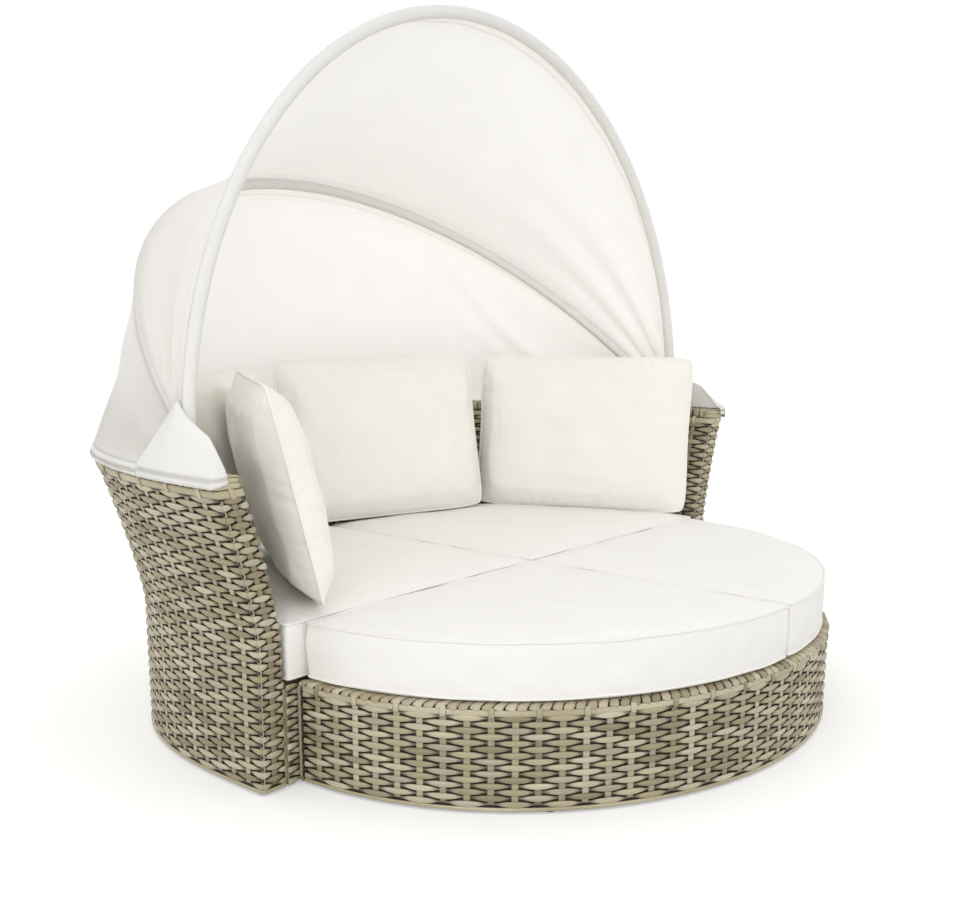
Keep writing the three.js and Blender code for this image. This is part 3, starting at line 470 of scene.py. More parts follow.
def band_parts(points, seed, half_width, straps=(), strap_reach=0.0):
    """A flat strand along the middle one of three rows of points, and straps over it at some."""
    band_lift, band_rise = 0.0012, 0.0022
    strap_half, strap_rise = 0.0062, 0.0016
    chance = np.random.default_rng(seed)
    along = unit(np.gradient(points[1], axis=0))
    up = unit(points[2] - points[0])
    out = unit(np.cross(along, up))
    across = unit(np.cross(out, along))
    count = len(along)
    tone_steps = np.arange(0, count, 12)
    tone = 0.35 + 0.4 * np.interp(np.arange(count), tone_steps, chance.random(len(tone_steps)))
    # The band carries a fixed level of painted shade, and its straps one a little lighter.
    parts = [(points[1][None] + out * band_lift, across[None], out[None],
              np.full((1, count), half_width), np.full((1, count), band_rise), tone[None],
              np.full((1, count), 0.75))]
    if not len(straps):
        return parts
    bow = np.array([-1.0, -0.8, 0.0, 0.8, 1.0])
    proud = np.array([0.0, 0.0036, 0.0048, 0.0036, 0.0])
    path = (points[1][straps][:, None] + up[straps][:, None] * (bow * strap_reach)[None, :, None]
            + out[straps][:, None] * proud[None, :, None])
    shape = path.shape[:2]
    spread = [np.broadcast_to(way[straps][:, None], path.shape) for way in (-along, out)]
    parts.append((path, *spread, np.full(shape, strap_half), np.full(shape, strap_rise),
                  np.broadcast_to(chance.random((shape[0], 1)), shape), np.full(shape, 0.8)))
    return parts


loop_places = np.arange(0, stake_marks[-1] * per_stake + 1) / per_stake
rim_band = wall_points(loop_places, (0.626, 0.6345, 0.643))
rim_straps = np.arange(per_stake, stake_marks[-1] * per_stake, 2 * per_stake)
rim_profile = [(0.0015, 0.6435), (0.0015, 0.655), (0.0045, 0.6655), (0.013, 0.669), (0.025, 0.6692),
               (0.047, 0.6692), (0.059, 0.669), (0.0675, 0.6655), (0.0705, 0.655), (0.0705, 0.6435)]
end_parts = []
for first, last, seed in ((stake_marks[1], stake_marks[2], 23), (stake_marks[3], stake_marks[4], 24)):
    end_places = np.arange(first * per_stake - 2, last * per_stake + 3) / per_stake
    for z, half_width in ((0.6495, 0.006), (0.6605, 0.0055)):
        end_parts += band_parts(wall_points(end_places, (z - 0.004, z, z + 0.004)), seed, half_width)
rim = tube_mesh("woven_rim", band_parts(rim_band, 21, 0.0085, rim_straps, 0.0125) + end_parts
                + border_parts(*wall_edge(0.66), rim_profile, 22), rattan_strand)
foot_heights, foot_strand_half = (0.006, 0.0095, 0.013), 0.0042
foot_band = wall_points(loop_places, foot_heights)
left_end, right_end = stake_marks[2] * per_stake, stake_marks[3] * per_stake
foot_strand = tube_mesh("wall_foot_strand", band_parts(foot_band[:, :left_end + 1], 25, foot_strand_half)
                        + band_parts(foot_band[:, right_end:], 26, foot_strand_half), rattan_strand)
for piece in (rim, foot_strand):
    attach(piece, "sofa")
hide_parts("back_rim_weave")


# Two flat woven panels face each other where the ottoman stands against the sofa: one closes the
# front of the sofa under its seat, the other the ottoman's back. They are the same half-round
# strand, woven on upright stakes 50 mm apart.
def flat_weave(name, node, body, facing, seed):
    """A flat woven panel in the space of a node, facing -Y for -1 and +Y for 1."""
    low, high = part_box(node)
    stake_gap, overhang = 0.05, 0.002
    count = per_stake * round((high.x - low.x) / stake_gap)
    heights = np.arange(low.z + 0.0065, high.z - 0.004, row_pitch)
    x = np.linspace(low.x - overhang, high.x + overhang, count + 1)[:: -facing]
    grid = np.stack(np.broadcast_arrays(x[None, :], (low.y + high.y) / 2, heights[:, None]), -1)
    stakes = np.arange(0, count + 1, per_stake)
    piece = tube_mesh(name, woven_parts(grid, 0, seed, stakes), rattan_strand)
    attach(piece, body)
    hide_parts(node)


flat_weave("sofa_front_panel", "sofa_front_weave", "sofa", -1, 31)
flat_weave("ottoman_back_panel", "ottoman_back_weave", "ottoman", 1, 32)


# The ottoman's round side is woven like the wall, with a strapped flat strand and slanting
# strands round its top edge, and a flat strand along the floor.
ottoman_back = -0.1605
ottoman_half, ottoman_reach = 0.8, 0.7195
turn = np.linspace(math.pi, 2 * math.pi, 1600)
ottoman_edge, ottoman_right = even_curve(np.stack([
    ottoman_half * np.cos(turn), ottoman_back + ottoman_reach * np.sin(turn)], 1))
ottoman_gaps = 50


def ottoman_points(places, heights, inset):
    """The ottoman's side at places counted in stakes, for each height."""
    last = len(ottoman_edge) - 1
    at = np.clip(np.round(places / ottoman_gaps * last), 0, last).astype(int)
    flat = ottoman_edge[at] - ottoman_right[at] * inset
    flat[:, 1] = np.minimum(flat[:, 1], ottoman_back - 0.001)
    return np.array([np.column_stack([flat, np.full(len(at), z)]) for z in heights])


ottoman_places = np.arange(0, ottoman_gaps * per_stake + 1) / per_stake
ottoman_rows = np.arange(lowest_row, 0.2, row_pitch)
side = tube_mesh("ottoman_side", woven_parts(
    ottoman_points(ottoman_places, ottoman_rows, weave_middle), 0, 41,
    np.arange(0, ottoman_gaps * per_stake + 1, per_stake)), rattan_strand)
edge_band = ottoman_points(ottoman_places, (0.203, 0.2092, 0.2154), weave_middle)
edge_straps = np.arange(per_stake, ottoman_gaps * per_stake, 2 * per_stake)
edge_profile = [(0.0005, 0.2155), (0.003, 0.2205), (0.009, 0.2238), (0.02, 0.2244), (0.034, 0.2244),
                (0.0475, 0.2225)]
edge = tube_mesh("ottoman_edge", band_parts(edge_band, 42, 0.0068, edge_straps, 0.0105)
                 + border_parts(ottoman_edge, ottoman_right, edge_profile, 43, slant=0.02)
                 + band_parts(ottoman_points(ottoman_places, foot_heights, weave_middle), 44,
                              foot_strand_half), rattan_strand)
for piece, node in ((side, "ottoman_side_weave"), (edge, "ottoman_edge_weave")):
    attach(piece, "ottoman")
    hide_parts(node)


# The decks under the cushions are flat strand, woven close over the frames' top rings. They stay
# the flat solids of the frame, and the material draws their weave.
def deck_weave(name):
    """Flat polyethylene strand 25 mm wide, woven close: a satin basket pattern with dark gaps."""
    made, tree, shader = new_material(name)
    place = add_node(tree, "TexCoord")
    brick = add_node(tree, "TexBrick", {"Vector": place.outputs["Object"], "Scale": 1.0,
                                        "Brick Width": 0.05, "Row Height": 0.025, "Mortar Size": 0.002,
                                        "Color1": linear("#8F856C"), "Color2": linear("#A3987D"),
                                        "Mortar": linear("#2E281C")})
    ridge = add_node(tree, "Bump", {"Height": brick.outputs["Fac"], "Strength": 0.6, "Distance": 0.002},
                     invert=True)
    set_inputs(tree, shader, {"Base Color": brick, "Normal": ridge, "Roughness": 0.55})
    return made


finish_nodes(deck_weave("close_woven_strand"), ["sofa_seat_deck", "ottoman_deck"])


# The canopy's hoops are steel tube, powder coated cream. Their flattened ends turn on stainless
# bolts, between spacers, in stainless brackets on the rim. They stay the solids of the frame.
def stainless(name):
    """Brushed stainless steel: grey, with a soft gloss and fine marks."""
    made, tree, shader = new_material(name)
    place = add_node(tree, "TexCoord")
    marks = add_node(tree, "TexNoise", {"Vector": place.outputs["Object"], "Scale": 900.0, "Detail": 3.0})
    gloss = add_node(tree, "MapRange", {"Value": marks, "To Min": 0.22, "To Max": 0.42})
    set_inputs(tree, shader, {"Base Color": linear("#B9B8B4"), "Metallic": 1.0, "Roughness": gloss})
    return made


finish_nodes(satin_skin("powder_coated_steel", ("#E6E1D6", "#DDD8CC"), 0.4, 1.2),
             ["front_hoop_tube", "middle_hoop_tube"])
finish_nodes(stainless("stainless_steel"), [f"{side}_{name}" for side in ("right", "left") for name in (
    "canopy_bracket", "pivot_bolt", "outer_spacer", "inner_spacer", "cap_nut")])


# The canopy is weatherproof polyester cloth: a front panel from hoop to hoop and a rear panel from
# the middle hoop down to the rim, each sewn round its hoop in a sleeve. Taut between the hoops, the
# cloth sags a little at the middle and gathers in folds towards its feet.
def sheet_mesh(name, grid, thickness, material, sewn, backed):
    """A closed sheet round the middle surface that a grid of points gives. Its cloth_place is the
    place on the cloth in metres, with a mark as third number: 1 on sewn rows, -1 on the first rows,
    as many as are backed by a tube or the rim, and 0 on the others."""
    columns, rows = grid.shape[:2]
    normal = unit(np.cross(np.gradient(grid, axis=0), np.gradient(grid, axis=1)))
    faces = [grid + normal * thickness / 2, grid - normal * thickness / 2]
    index = np.arange(columns * rows).reshape(columns, rows)
    a, b, c, d = index[:-1, :-1], index[1:, :-1], index[1:, 1:], index[:-1, 1:]
    front = np.stack([a, b, c, d], -1).reshape(-1, 4)
    edge = np.concatenate([index[:-1, 0], index[-1, :-1], index[:0:-1, -1], index[0, :0:-1]])
    after = np.roll(edge, -1)
    back = columns * rows
    rim = np.stack([after, edge, edge + back, after + back], -1)
    mesh = smooth_mesh(name, np.vstack([f.reshape(-1, 3) for f in faces]),
                       np.vstack([front, front[:, ::-1] + back, rim]).tolist(), material)
    steps = [np.linalg.norm(np.diff(grid, axis=k), axis=2) for k in (0, 1)]
    place = np.zeros((columns, rows, 3))
    place[1:, :, 0] = np.cumsum(steps[0], 0)
    place[:, 1:, 1] = np.cumsum(steps[1], 1)
    place[:, :backed, 2] = -1
    place[:, list(sewn), 2] = 1
    keep_place(mesh, "cloth_place", np.vstack([place.reshape(-1, 3)] * 2))
    cells = np.cross(grid[1:, 1:] - grid[:-1, :-1], grid[:-1, 1:] - grid[1:, :-1])
    area = float(np.linalg.norm(cells, axis=2).sum() / 2)
    wide = float(steps[0].sum(0).max())
    long = float(steps[1].sum(1).max())
    return placed(name, mesh), (wide, long), min(area, wide * long)


def woven_polyester(name, colours, through, thread_mm, bump):
    """Spun polyester, dyed in the mass: matt plain weave, faintly uneven, and letting some light
    through where it is thin. The real threads are 0.4 mm apart in the canopy and 0.5 mm in the
    covers, the real stitches 3 mm. The threads are drawn 4 to 5 mm apart and the stitches 11 mm,
    so that they show."""
    made, tree, shader = new_material(name)
    place = add_node(tree, "Attribute", attribute_name="cloth_place").outputs["Vector"]
    split = add_node(tree, "SeparateXYZ", {0: place})

    # The wave texture turns by 20 radians over a metre at a scale of 1.
    wave_turn = 20
    wave_scale = 2 * math.pi * 1000 / thread_mm / wave_turn
    threads = [add_node(tree, "TexWave", {"Vector": place, "Scale": wave_scale, "Distortion": 0.6,
                                          "Detail": 1.0}, bands_direction=way) for way in ("X", "Y")]
    weave = add_node(tree, "Math", {0: threads[0].outputs["Fac"], 1: threads[1].outputs["Fac"]},
                     operation="MAXIMUM")
    cloud = add_node(tree, "TexNoise", {"Vector": place, "Scale": 9.0, "Detail": 4.0})
    slub = add_node(tree, "TexNoise", {"Vector": place, "Scale": 260.0, "Detail": 2.0})
    mixed = add_node(tree, "Math", {0: cloud, 1: slub}, operation="ADD")
    uneven = add_node(tree, "MapRange", {"Value": mixed, "From Min": 0.6, "From Max": 1.4})
    tint = add_node(tree, "MixRGB", {"Fac": uneven, "Color1": linear(colours[0]),
                                     "Color2": linear(colours[1])})

    # The seam is a thin line beside each sewn row, where the mark has fallen from 1 to 0.7.
    seam = add_node(tree, "Math", {0: split.outputs[2], 1: 0.7, 2: 0.07}, operation="COMPARE")
    beat = add_node(tree, "Math", {0: split.outputs[0], 1: 2 * math.pi / 0.011}, operation="MULTIPLY")
    rise = add_node(tree, "Math", {0: beat}, operation="SINE")
    stitch = add_node(tree, "MapRange", {"Value": rise, "From Min": -0.6, "From Max": -0.3,
                                         "To Min": 0.35})
    sewn = add_node(tree, "Math", {0: seam, 1: stitch}, operation="MULTIPLY")
    faint = add_node(tree, "Math", {0: sewn, 1: 0.22}, operation="MULTIPLY")
    marked = add_node(tree, "MixRGB", {"Fac": faint, "Color1": tint, "Color2": linear("#B9B4A6")})

    fine = add_node(tree, "Bump", {"Height": weave, "Strength": bump, "Distance": 0.0004})
    soft = add_node(tree, "Bump", {"Height": cloud, "Strength": 0.25, "Distance": 0.004, "Normal": fine})
    pulled = add_node(tree, "Bump", {"Height": seam, "Strength": 0.35, "Distance": 0.0010,
                                     "Normal": soft}, invert=True)
    set_inputs(tree, shader, {"Base Color": marked, "Normal": pulled, "Roughness": 0.82,
                              "Specular IOR Level": 0.25, "Sheen Weight": 0.12, "Sheen Roughness": 0.5})
    if through:
        glow = add_node(tree, "BsdfTranslucent", {"Color": marked, "Normal": soft})
        sheer = add_node(tree, "MapRange", {"Value": split.outputs[2], "From Min": -1.0, "From Max": 0.0,
                                            "To Min": through / 2, "To Max": through})
        both = add_node(tree, "MixShader", {0: sheer, 1: shader, 2: glow})
        set_inputs(tree, tree.nodes["Material Output"], {"Surface": both})
    return made


canopy_cloth = woven_polyester("canopy_polyester", ("#F9F8F6", "#FCFBF9"), 0.66, 4.343, 0.25)
pivot = np.array([0.0, -0.003, 0.695])
cloth_columns = 160
panel_thickness, hem_thickness = 0.0014, 0.0013
sleeve_radius, lap_radius = 0.0138, 0.016


class Hoop:
    """A half-oval hoop on the pivots: half width, height and tilt behind upright."""

    def __init__(self, half, height, tilt):
        self.half, self.height = half, height
        self.up = np.array([0, math.sin(math.radians(tilt)), math.cos(math.radians(tilt))])
        self.back = np.array([0, self.up[2], -self.up[1]])
        cloth_foot = 0.05
        foot = math.asin(cloth_foot / height)
        fine = np.linspace(foot, math.pi - foot, 2000)
        step = np.hypot(np.gradient(half * np.cos(fine)), np.gradient(height * np.sin(fine)))
        reach = np.cumsum(step)
        even = np.linspace(reach[0], reach[-1], cloth_columns + 1)
        self.angle = np.interp(even, reach, fine)

    def middle(self):
        """The tube's middle line and the directions out of the hoop."""
        c, s = np.cos(self.angle)[:, None], np.sin(self.angle)[:, None]
        line = pivot + self.half * c * [1, 0, 0] + self.height * s * self.up
        out = unit(self.height * c * [1, 0, 0] + self.half * s * self.up)
        return line, out

    def round(self, radius, turns):
        """Points round the tube: 0 is outside the hoop, a quarter turn more is behind it."""
        line, out = self.middle()
        turns = turns[None, :, None]
        return line[:, None] + radius * (out[:, None] * np.cos(turns) + self.back * np.sin(turns))


front_hoop = Hoop(0.931, 0.9709, 1.0)
middle_hoop = Hoop(0.901, 0.9409, 48.3)
share_round = np.linspace(0, 1, cloth_columns + 1)
from_top = np.abs(2 * share_round - 1)
sleeve_rows = 11
sleeve_turns = math.pi / 4 * np.linspace(-4.5, 0.5, sleeve_rows)
lap_turns = math.pi / 4 * np.linspace(-0.5, 0.1, 3)


def spanned(start, end, lift_start, lift_end, sag, folds):
    """Cloth between two edges, with the sag and the folds that it hangs in."""
    rows = []
    for share in np.linspace(0, 1, 30)[1:-1]:
        lift = unit(lift_start * (1 - share) + lift_end * share)
        between = 4 * share * (1 - share)
        fall = between * sag * (1 - from_top ** 2) + folds(share)
        rows.append(start * (1 - share) + end * share - lift * fall[:, None])
    return np.stack(rows, 1)


def foot_folds(share, depth, count):
    """Folds that run up from both feet and fade out before the middle of each side."""
    fade = 0.42
    near = np.exp(-((1 - from_top) / fade) ** 1.5)
    return depth * near * np.sin(math.pi * share) * np.sin(2 * math.pi * count * share + 0.6)


def slant_folds(share):
    """Two soft folds that pull down towards the right foot, one fainter than the other."""
    slope, width = 0.3, 0.016
    pull = math.sin(math.pi * share) ** 1.5
    return sum(depth * pull * np.exp(-((share_round - start + slope * share) / width) ** 2)
               for start, depth in ((0.335, 0.014), (0.39, 0.007)))


front_line, front_out = front_hoop.middle()
middle_line, middle_out = middle_hoop.middle()
front_sleeve = front_hoop.round(sleeve_radius, sleeve_turns)
lap = middle_hoop.round(lap_radius, lap_turns)
front_span = spanned(front_sleeve[:, -1], lap[:, 0], front_out, middle_out, 0.070,
                     lambda share: foot_folds(share, 0.015, 3.5)
                     + 0.0016 * np.sin(2 * math.pi * 17 * share_round) * (1 - share) ** 3)
front_panel, front_flat, front_area = sheet_mesh(
    "canopy_front_cloth", np.concatenate([front_sleeve, front_span, lap], 1), panel_thickness,
    canopy_cloth, (sleeve_rows, -len(lap_turns) - 1), sleeve_rows - 1)

rim_edge, rim_right = wall_edge(0.67)
behind_feet = 0.067
behind = np.nonzero(rim_edge[:, 1] > behind_feet)[0]
along_rim = np.round(np.linspace(behind[0], behind[-1], cloth_columns + 1)).astype(int)
landing = np.column_stack([rim_edge[along_rim] - rim_right[along_rim] * 0.0045,
                           np.full(cloth_columns + 1, 0.6718)])
landing_out = np.column_stack([rim_right[along_rim], np.zeros(cloth_columns + 1)])
middle_sleeve = middle_hoop.round(sleeve_radius, sleeve_turns)
chance = np.random.default_rng(51)
fold_wave = sum(
    chance.normal() * np.sin(2 * math.pi * n * share_round + chance.uniform(0, 6.3)) / n ** 0.6
    for n in range(7, 22))
rear_span = spanned(middle_sleeve[:, -1], landing, middle_out, landing_out, 0.022,
                    lambda share: 0.0042 * fold_wave * math.sin(math.pi * share ** 0.7)
                    + foot_folds(share, 0.006, 2.0) + slant_folds(share))
rear_panel, rear_flat, rear_area = sheet_mesh(
    "canopy_rear_cloth", np.concatenate([middle_sleeve, rear_span, landing[:, None]], 1),
    panel_thickness, canopy_cloth, (sleeve_rows,), sleeve_rows - 1)
for piece, node, flat, area, held_by in (
        (front_panel, "canopy_front_panel", front_flat, front_area, ["front_hoop_tube", "middle_hoop_tube"]),
        (rear_panel, "canopy_rear_panel", rear_flat, rear_area, ["middle_hoop_tube", "woven_rim"])):
    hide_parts(node)
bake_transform(front_panel)
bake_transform(rear_panel)


# The skirt is a strip of the canopy's cloth that lies over the woven rim all the way round and
# hangs down outside it. Its lower edge is turned and sewn as a hem, and waves a little.
skirt_steps = np.arange(3, len(rim_edge) - 3, 9)
skirt_columns = np.arange(len(skirt_steps))
hem_wave = 0.0012 * np.sin(skirt_columns * 0.31) + 0.0008 * np.sin(skirt_columns * 0.83)
wave_top = 0.66
skirt_lift = 0.0012
skirt_profile = [(-0.0008, 0.6465), (-0.0019, 0.6505), (-0.0016, 0.656), (0.0004, 0.6625), (0.0035, 0.6682),
                 (0.0085, 0.6706), (0.0145, 0.6714), (0.024, 0.6714), (0.032, 0.6714)]
skirt_grid = np.stack([np.column_stack([
    rim_edge[skirt_steps] - rim_right[skirt_steps] * (inset - hem_wave[:, None] * (z < wave_top)),
    np.full(len(skirt_steps), z + skirt_lift)]) for inset, z in skirt_profile], 1)
skirt, skirt_flat, skirt_area = sheet_mesh("canopy_skirt_cloth", skirt_grid, hem_thickness, canopy_cloth,
                                           (2,), len(skirt_profile))
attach(skirt, "sofa")
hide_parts("canopy_skirt")


# A foot cloth closes the canopy at each of its two front feet. It hangs over the end of the arm's
# rim with a sewn hem, turns round the arm's front corner, and rises in a point to the hoop's leg.
hoop_leg = (0.9459, 0.0095, 0.8035)
behind_leg = np.linspace((0.9155, 0.0800, 0.7700), hoop_leg, 13)
foot_y = np.concatenate([np.linspace(0.1045, hoop_leg[1], len(behind_leg)),
                         np.linspace(hoop_leg[1], -0.153, 24)[1:]])
arm_edge = rim_edge[:len(rim_edge) // 2]
arm_steps = [int(np.argmin(np.abs(arm_edge[:, 1] - y))) for y in foot_y]
foot_plan = np.vstack([arm_edge[arm_steps], [(0.9968, -0.1575), (0.9935, seam_y), (0.985, seam_y),
                                             (0.975, seam_y), (0.966, seam_y)]])
foot_ways = np.vstack([rim_right[arm_steps], [(0.92, -0.38), (0.5, -0.86), (0, -1), (0, -1), (0, -1)]])
front_edge = np.array([hoop_leg, (0.9459, -0.016, 0.776), (0.950, -0.060, 0.754),
                       (0.955, -0.100, 0.738), (0.959, -0.130, 0.706), (0.962, -0.153, 0.6785)])
edge_reach = lengths_along(front_edge)
edge_steps = np.linspace(0, edge_reach[-1], len(foot_plan) - len(behind_leg) + 1)[1:]
foot_tips = np.vstack([behind_leg, np.stack([np.interp(edge_steps, edge_reach, front_edge[:, k])
                                             for k in range(3)], 1)])
foot_hem, foot_top = 0.6475, 0.6705
hem_rise = 0.008 * np.clip((np.arange(len(foot_plan)) - len(foot_y)) / 4, 0, 1)
foot_rows = []
for reach, z in ((0.0050, foot_hem), (0.0047, 0.656), (0.0040, 0.664), (0.0026, foot_top)):
    lift = hem_rise * (foot_top - z) / (foot_top - foot_hem)
    foot_rows.append(np.column_stack([foot_plan + foot_ways * reach, z + lift]))
foot_line = np.column_stack([foot_plan - foot_ways * 0.0005, np.full(len(foot_plan), 0.676)])
foot_bow = np.column_stack([foot_ways, np.zeros(len(foot_plan))])
foot_bow *= 0.003 * np.sin(np.linspace(0, 9.5, len(foot_plan)))[:, None]
foot_rows += [foot_line + (foot_tips - foot_line) * up + foot_bow * math.sin(math.pi * up)
              for up in np.linspace(0, 1, 12)]
foot_grid = np.stack(foot_rows, 1)
for name, side in (("right", 1), ("left", -1)):
    flap, flap_flat, flap_area = sheet_mesh(
        f"{name}_canopy_foot_cloth", (foot_grid * [side, 1, 1])[::side], hem_thickness, canopy_cloth,
        (2,), len(foot_rows))
    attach(flap, "sofa")
    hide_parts(f"{name}_canopy_flap")


# The seat is four boxed foam cushions, quarters of a round: two on the sofa's deck and two on the
# ottoman's. Their covers have a welt sewn round the top and the bottom edge of the side band.
cushion_cover = woven_polyester("cushion_polyester", ("#EFEDE9", "#F4F2EE"), 0, 4.737, 0.32)
cushion_gap = 0.0025


def smoothed(loop, window):
    """A closed curve of evenly spaced points with its corners rounded over a window of points."""
    weights = np.hanning(window + 2)[1:-1]
    weights /= weights.sum()
    half = window // 2
    padded = np.concatenate([loop[-half:], loop, loop[:half]])
    return np.stack([np.convolve(padded[:, k], weights, "valid")[:len(loop)] for k in (0, 1)], 1)


def even_loop(points, spacing):
    """A closed flat curve with its points evenly spaced, anticlockwise seen from above."""
    points = np.asarray(points)
    closed = np.vstack([points, points[:1]])
    turned = (closed[:-1, 0] * closed[1:, 1] - closed[1:, 0] * closed[:-1, 1]).sum()
    closed = closed if turned > 0 else closed[::-1]
    reach = lengths_along(closed)
    count = int(reach[-1] / spacing)
    steps = np.arange(count) * reach[-1] / count
    return np.stack([np.interp(steps, reach, closed[:, k]) for k in (0, 1)], 1)


def ripples(points, seed, length, count=14):
    """Smooth random waves of about a given length at points in space, about -1 to 1."""
    chance = np.random.default_rng(seed)
    total = np.zeros(points.shape[:-1])
    for _ in range(count):
        way = unit(chance.normal(size=3)) * 2 * math.pi / length * chance.uniform(0.6, 1.5)
        total += np.sin(points @ way + chance.uniform(0, 2 * math.pi))
    return total / math.sqrt(count / 2)


def ring_block(ringed, place, looped):
    """Points, places and faces of a closed body that rings of points give."""
    rings, count = ringed.shape[:2]
    index = np.arange(rings * count).reshape(rings, count)
    near, far = (index, np.roll(index, -1, 0)) if looped else (index[:-1], index[1:])
    quads = np.stack([near, np.roll(near, -1, 1), np.roll(far, -1, 1), far], -1)
    faces = quads.reshape(-1, 4).tolist()
    if not looped:
        faces += [index[0, ::-1].tolist(), index[-1].tolist()]
    return ringed.reshape(-1, 3), place.reshape(-1, 3), faces


def welt(path, normal, radius):
    """A round welt along a closed path, as a block of a cover."""
    along = unit(np.roll(path, -1, 0) - np.roll(path, 1, 0))
    out = unit(normal - along * (normal * along).sum(1)[:, None])
    side = np.cross(along, out)
    turns = np.linspace(0, 2 * math.pi, 8, endpoint=False)[None, :, None]
    ringed = path[:, None] + radius * (out[:, None] * np.cos(turns) + side[:, None] * np.sin(turns))
    place = np.zeros(ringed.shape)
    place[..., 0] = lengths_along(path)[:, None]
    place[..., 1] = radius * turns[..., 0]
    return ring_block(ringed, place, True)


def cover(name, blocks, material, node, body):
    """One padded piece of closed blocks, in the place of a node of the frame."""
    starts = np.cumsum([0] + [len(points) for points, _, _ in blocks])
    mesh = smooth_mesh(name, np.vstack([points for points, _, _ in blocks]),
                       [[corner + start for corner in face]
                        for start, (_, _, faces) in zip(starts.tolist(), blocks) for face in faces],
                       material)
    keep_place(mesh, "cloth_place", np.vstack([place for _, place, _ in blocks]))
    shape = bmesh.new()
    shape.from_mesh(mesh)
    bmesh.ops.recalc_face_normals(shape, faces=shape.faces)
    shape.to_mesh(mesh)
    shape.free()
    piece = placed(name, mesh)
    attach(piece, body)
    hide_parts(node)
    return piece


def boxed_cushion(name, outline, node, body, seed):
    """A quarter of the seat inside a flat outline, between its deck and the seat's height."""
    low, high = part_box(node)
    spacing = 0.004
    loop = smoothed(even_loop(outline, spacing), 11)
    middle = loop.mean(0)
    along = unit(np.roll(loop, -1, 0) - np.roll(loop, 1, 0))
    out = np.stack([along[:, 1], -along[:, 0]], 1)
    reach = np.arange(len(loop)) * spacing
    low_seam, high_seam = low.z + 0.0075, low.z + 0.1215
    top_inset = 0.0045
    top_softness = 0.052
    welt_inset, welt_radius = 0.0022, 0.0024
    rings, places = [], []

    def add_ring(flat, z, place):
        rings.append(np.column_stack([flat, np.broadcast_to(z, len(flat))]))
        places.append(np.column_stack([place, np.zeros(len(flat))]))

    # First the underside, then the side band, and last the top with its crown, its dents and the
    # puckers along its seam.
    for inset, z in ((0.028, low.z + 0.0004), (0.012, low.z + 0.0006), (0.005, low.z + 0.003)):
        add_ring(loop - out * inset, z, loop)
    for up in np.linspace(0, 1, 12):
        bulge = 0.0030 * math.sin(math.pi * up) ** 0.6 - 0.0034
        z = low_seam + (high_seam - low_seam) * up
        level = np.full(len(loop), z)
        wave = 0.0011 * math.sin(math.pi * up) * ripples(np.column_stack([loop, level]), seed, 0.11)
        add_ring(loop + out * (bulge + wave)[:, None], z, np.column_stack([reach, level]))
    for share in np.concatenate([[0.004, 0.012, 0.022, 0.036, 0.055, 0.08], np.linspace(0.11, 0.98, 26)]):
        flat = (loop - out * top_inset) * (1 - share) + middle * share
        away = np.sqrt(((flat[:, None] - loop[None, ::3]) ** 2).sum(2)).min(1) - 0.004
        rise = 1 - np.exp(-np.maximum(away, 0) / top_softness)
        point = np.column_stack([flat, np.zeros(len(flat))])
        dent = 0.0013 * ripples(point, seed + 1, 0.22) * rise
        pucker = 0.0007 * ripples(point, seed + 2, 0.035) * np.exp(-((away - 0.012) / 0.012) ** 2)
        add_ring(flat, high_seam + 0.001 + (high.z - 0.0022 - high_seam) * rise + dent + pucker, flat)
    blocks = [ring_block(np.array(rings), np.array(places), False)]
    flat_out = np.column_stack([out, np.zeros(len(out))])
    for z, seed_part in ((low_seam, 3), (high_seam, 4)):
        path = np.column_stack([loop - out * welt_inset, np.full(len(loop), z)])
        path[:, 2] += 0.0008 * ripples(path, seed + seed_part, 0.16)
        blocks.append(welt(path, flat_out, welt_radius))
    cover(name, blocks, cushion_cover, node, body)


seat_edge, seat_right = wall_edge(0.225)
wall_curve = seat_edge - seat_right * 0.0765
wall_curve = wall_curve[(wall_curve[:, 0] > cushion_gap) & (wall_curve[:, 1] > seam_y + cushion_gap)]
ottoman_curve = ottoman_edge - ottoman_right * 0.0155
ottoman_curve = ottoman_curve[(ottoman_curve[:, 0] > cushion_gap)
                              & (ottoman_curve[:, 1] < ottoman_back - cushion_gap)]
for name, side in (("right", 1), ("left", -1)):
    for body, curve, y in (("sofa", wall_curve, seam_y + cushion_gap),
                           ("ottoman", ottoman_curve, ottoman_back - cushion_gap)):
        ends = curve[[0, -1]]
        front = np.argmin(np.abs(ends[:, 1] - y))
        corners = [[ends[front][0], y], [cushion_gap, y], [cushion_gap, ends[np.argmin(ends[:, 0])][1]]]
        outline = np.vstack([curve, corners if front == 1 else corners[::-1]]) * [side, 1]
        boxed_cushion(f"{name}_{body}_seat_cushion", outline, f"{name}_{body}_cushion", body,
                      60 + 10 * side + 5 * (body == "sofa"))


# The back pillows are covers sewn from two cloths with a welt in the seam, filled with fibre.
# They lie loose: each is filled by a cloth simulation, then turned and leaned against the wall.
pillow_cover = woven_polyester("pillow_polyester", ("#F0EEE7", "#F5F3ED"), 0, 4.343, 0.32)
pillow_half = np.array([0.333, 0.081, 0.2375])


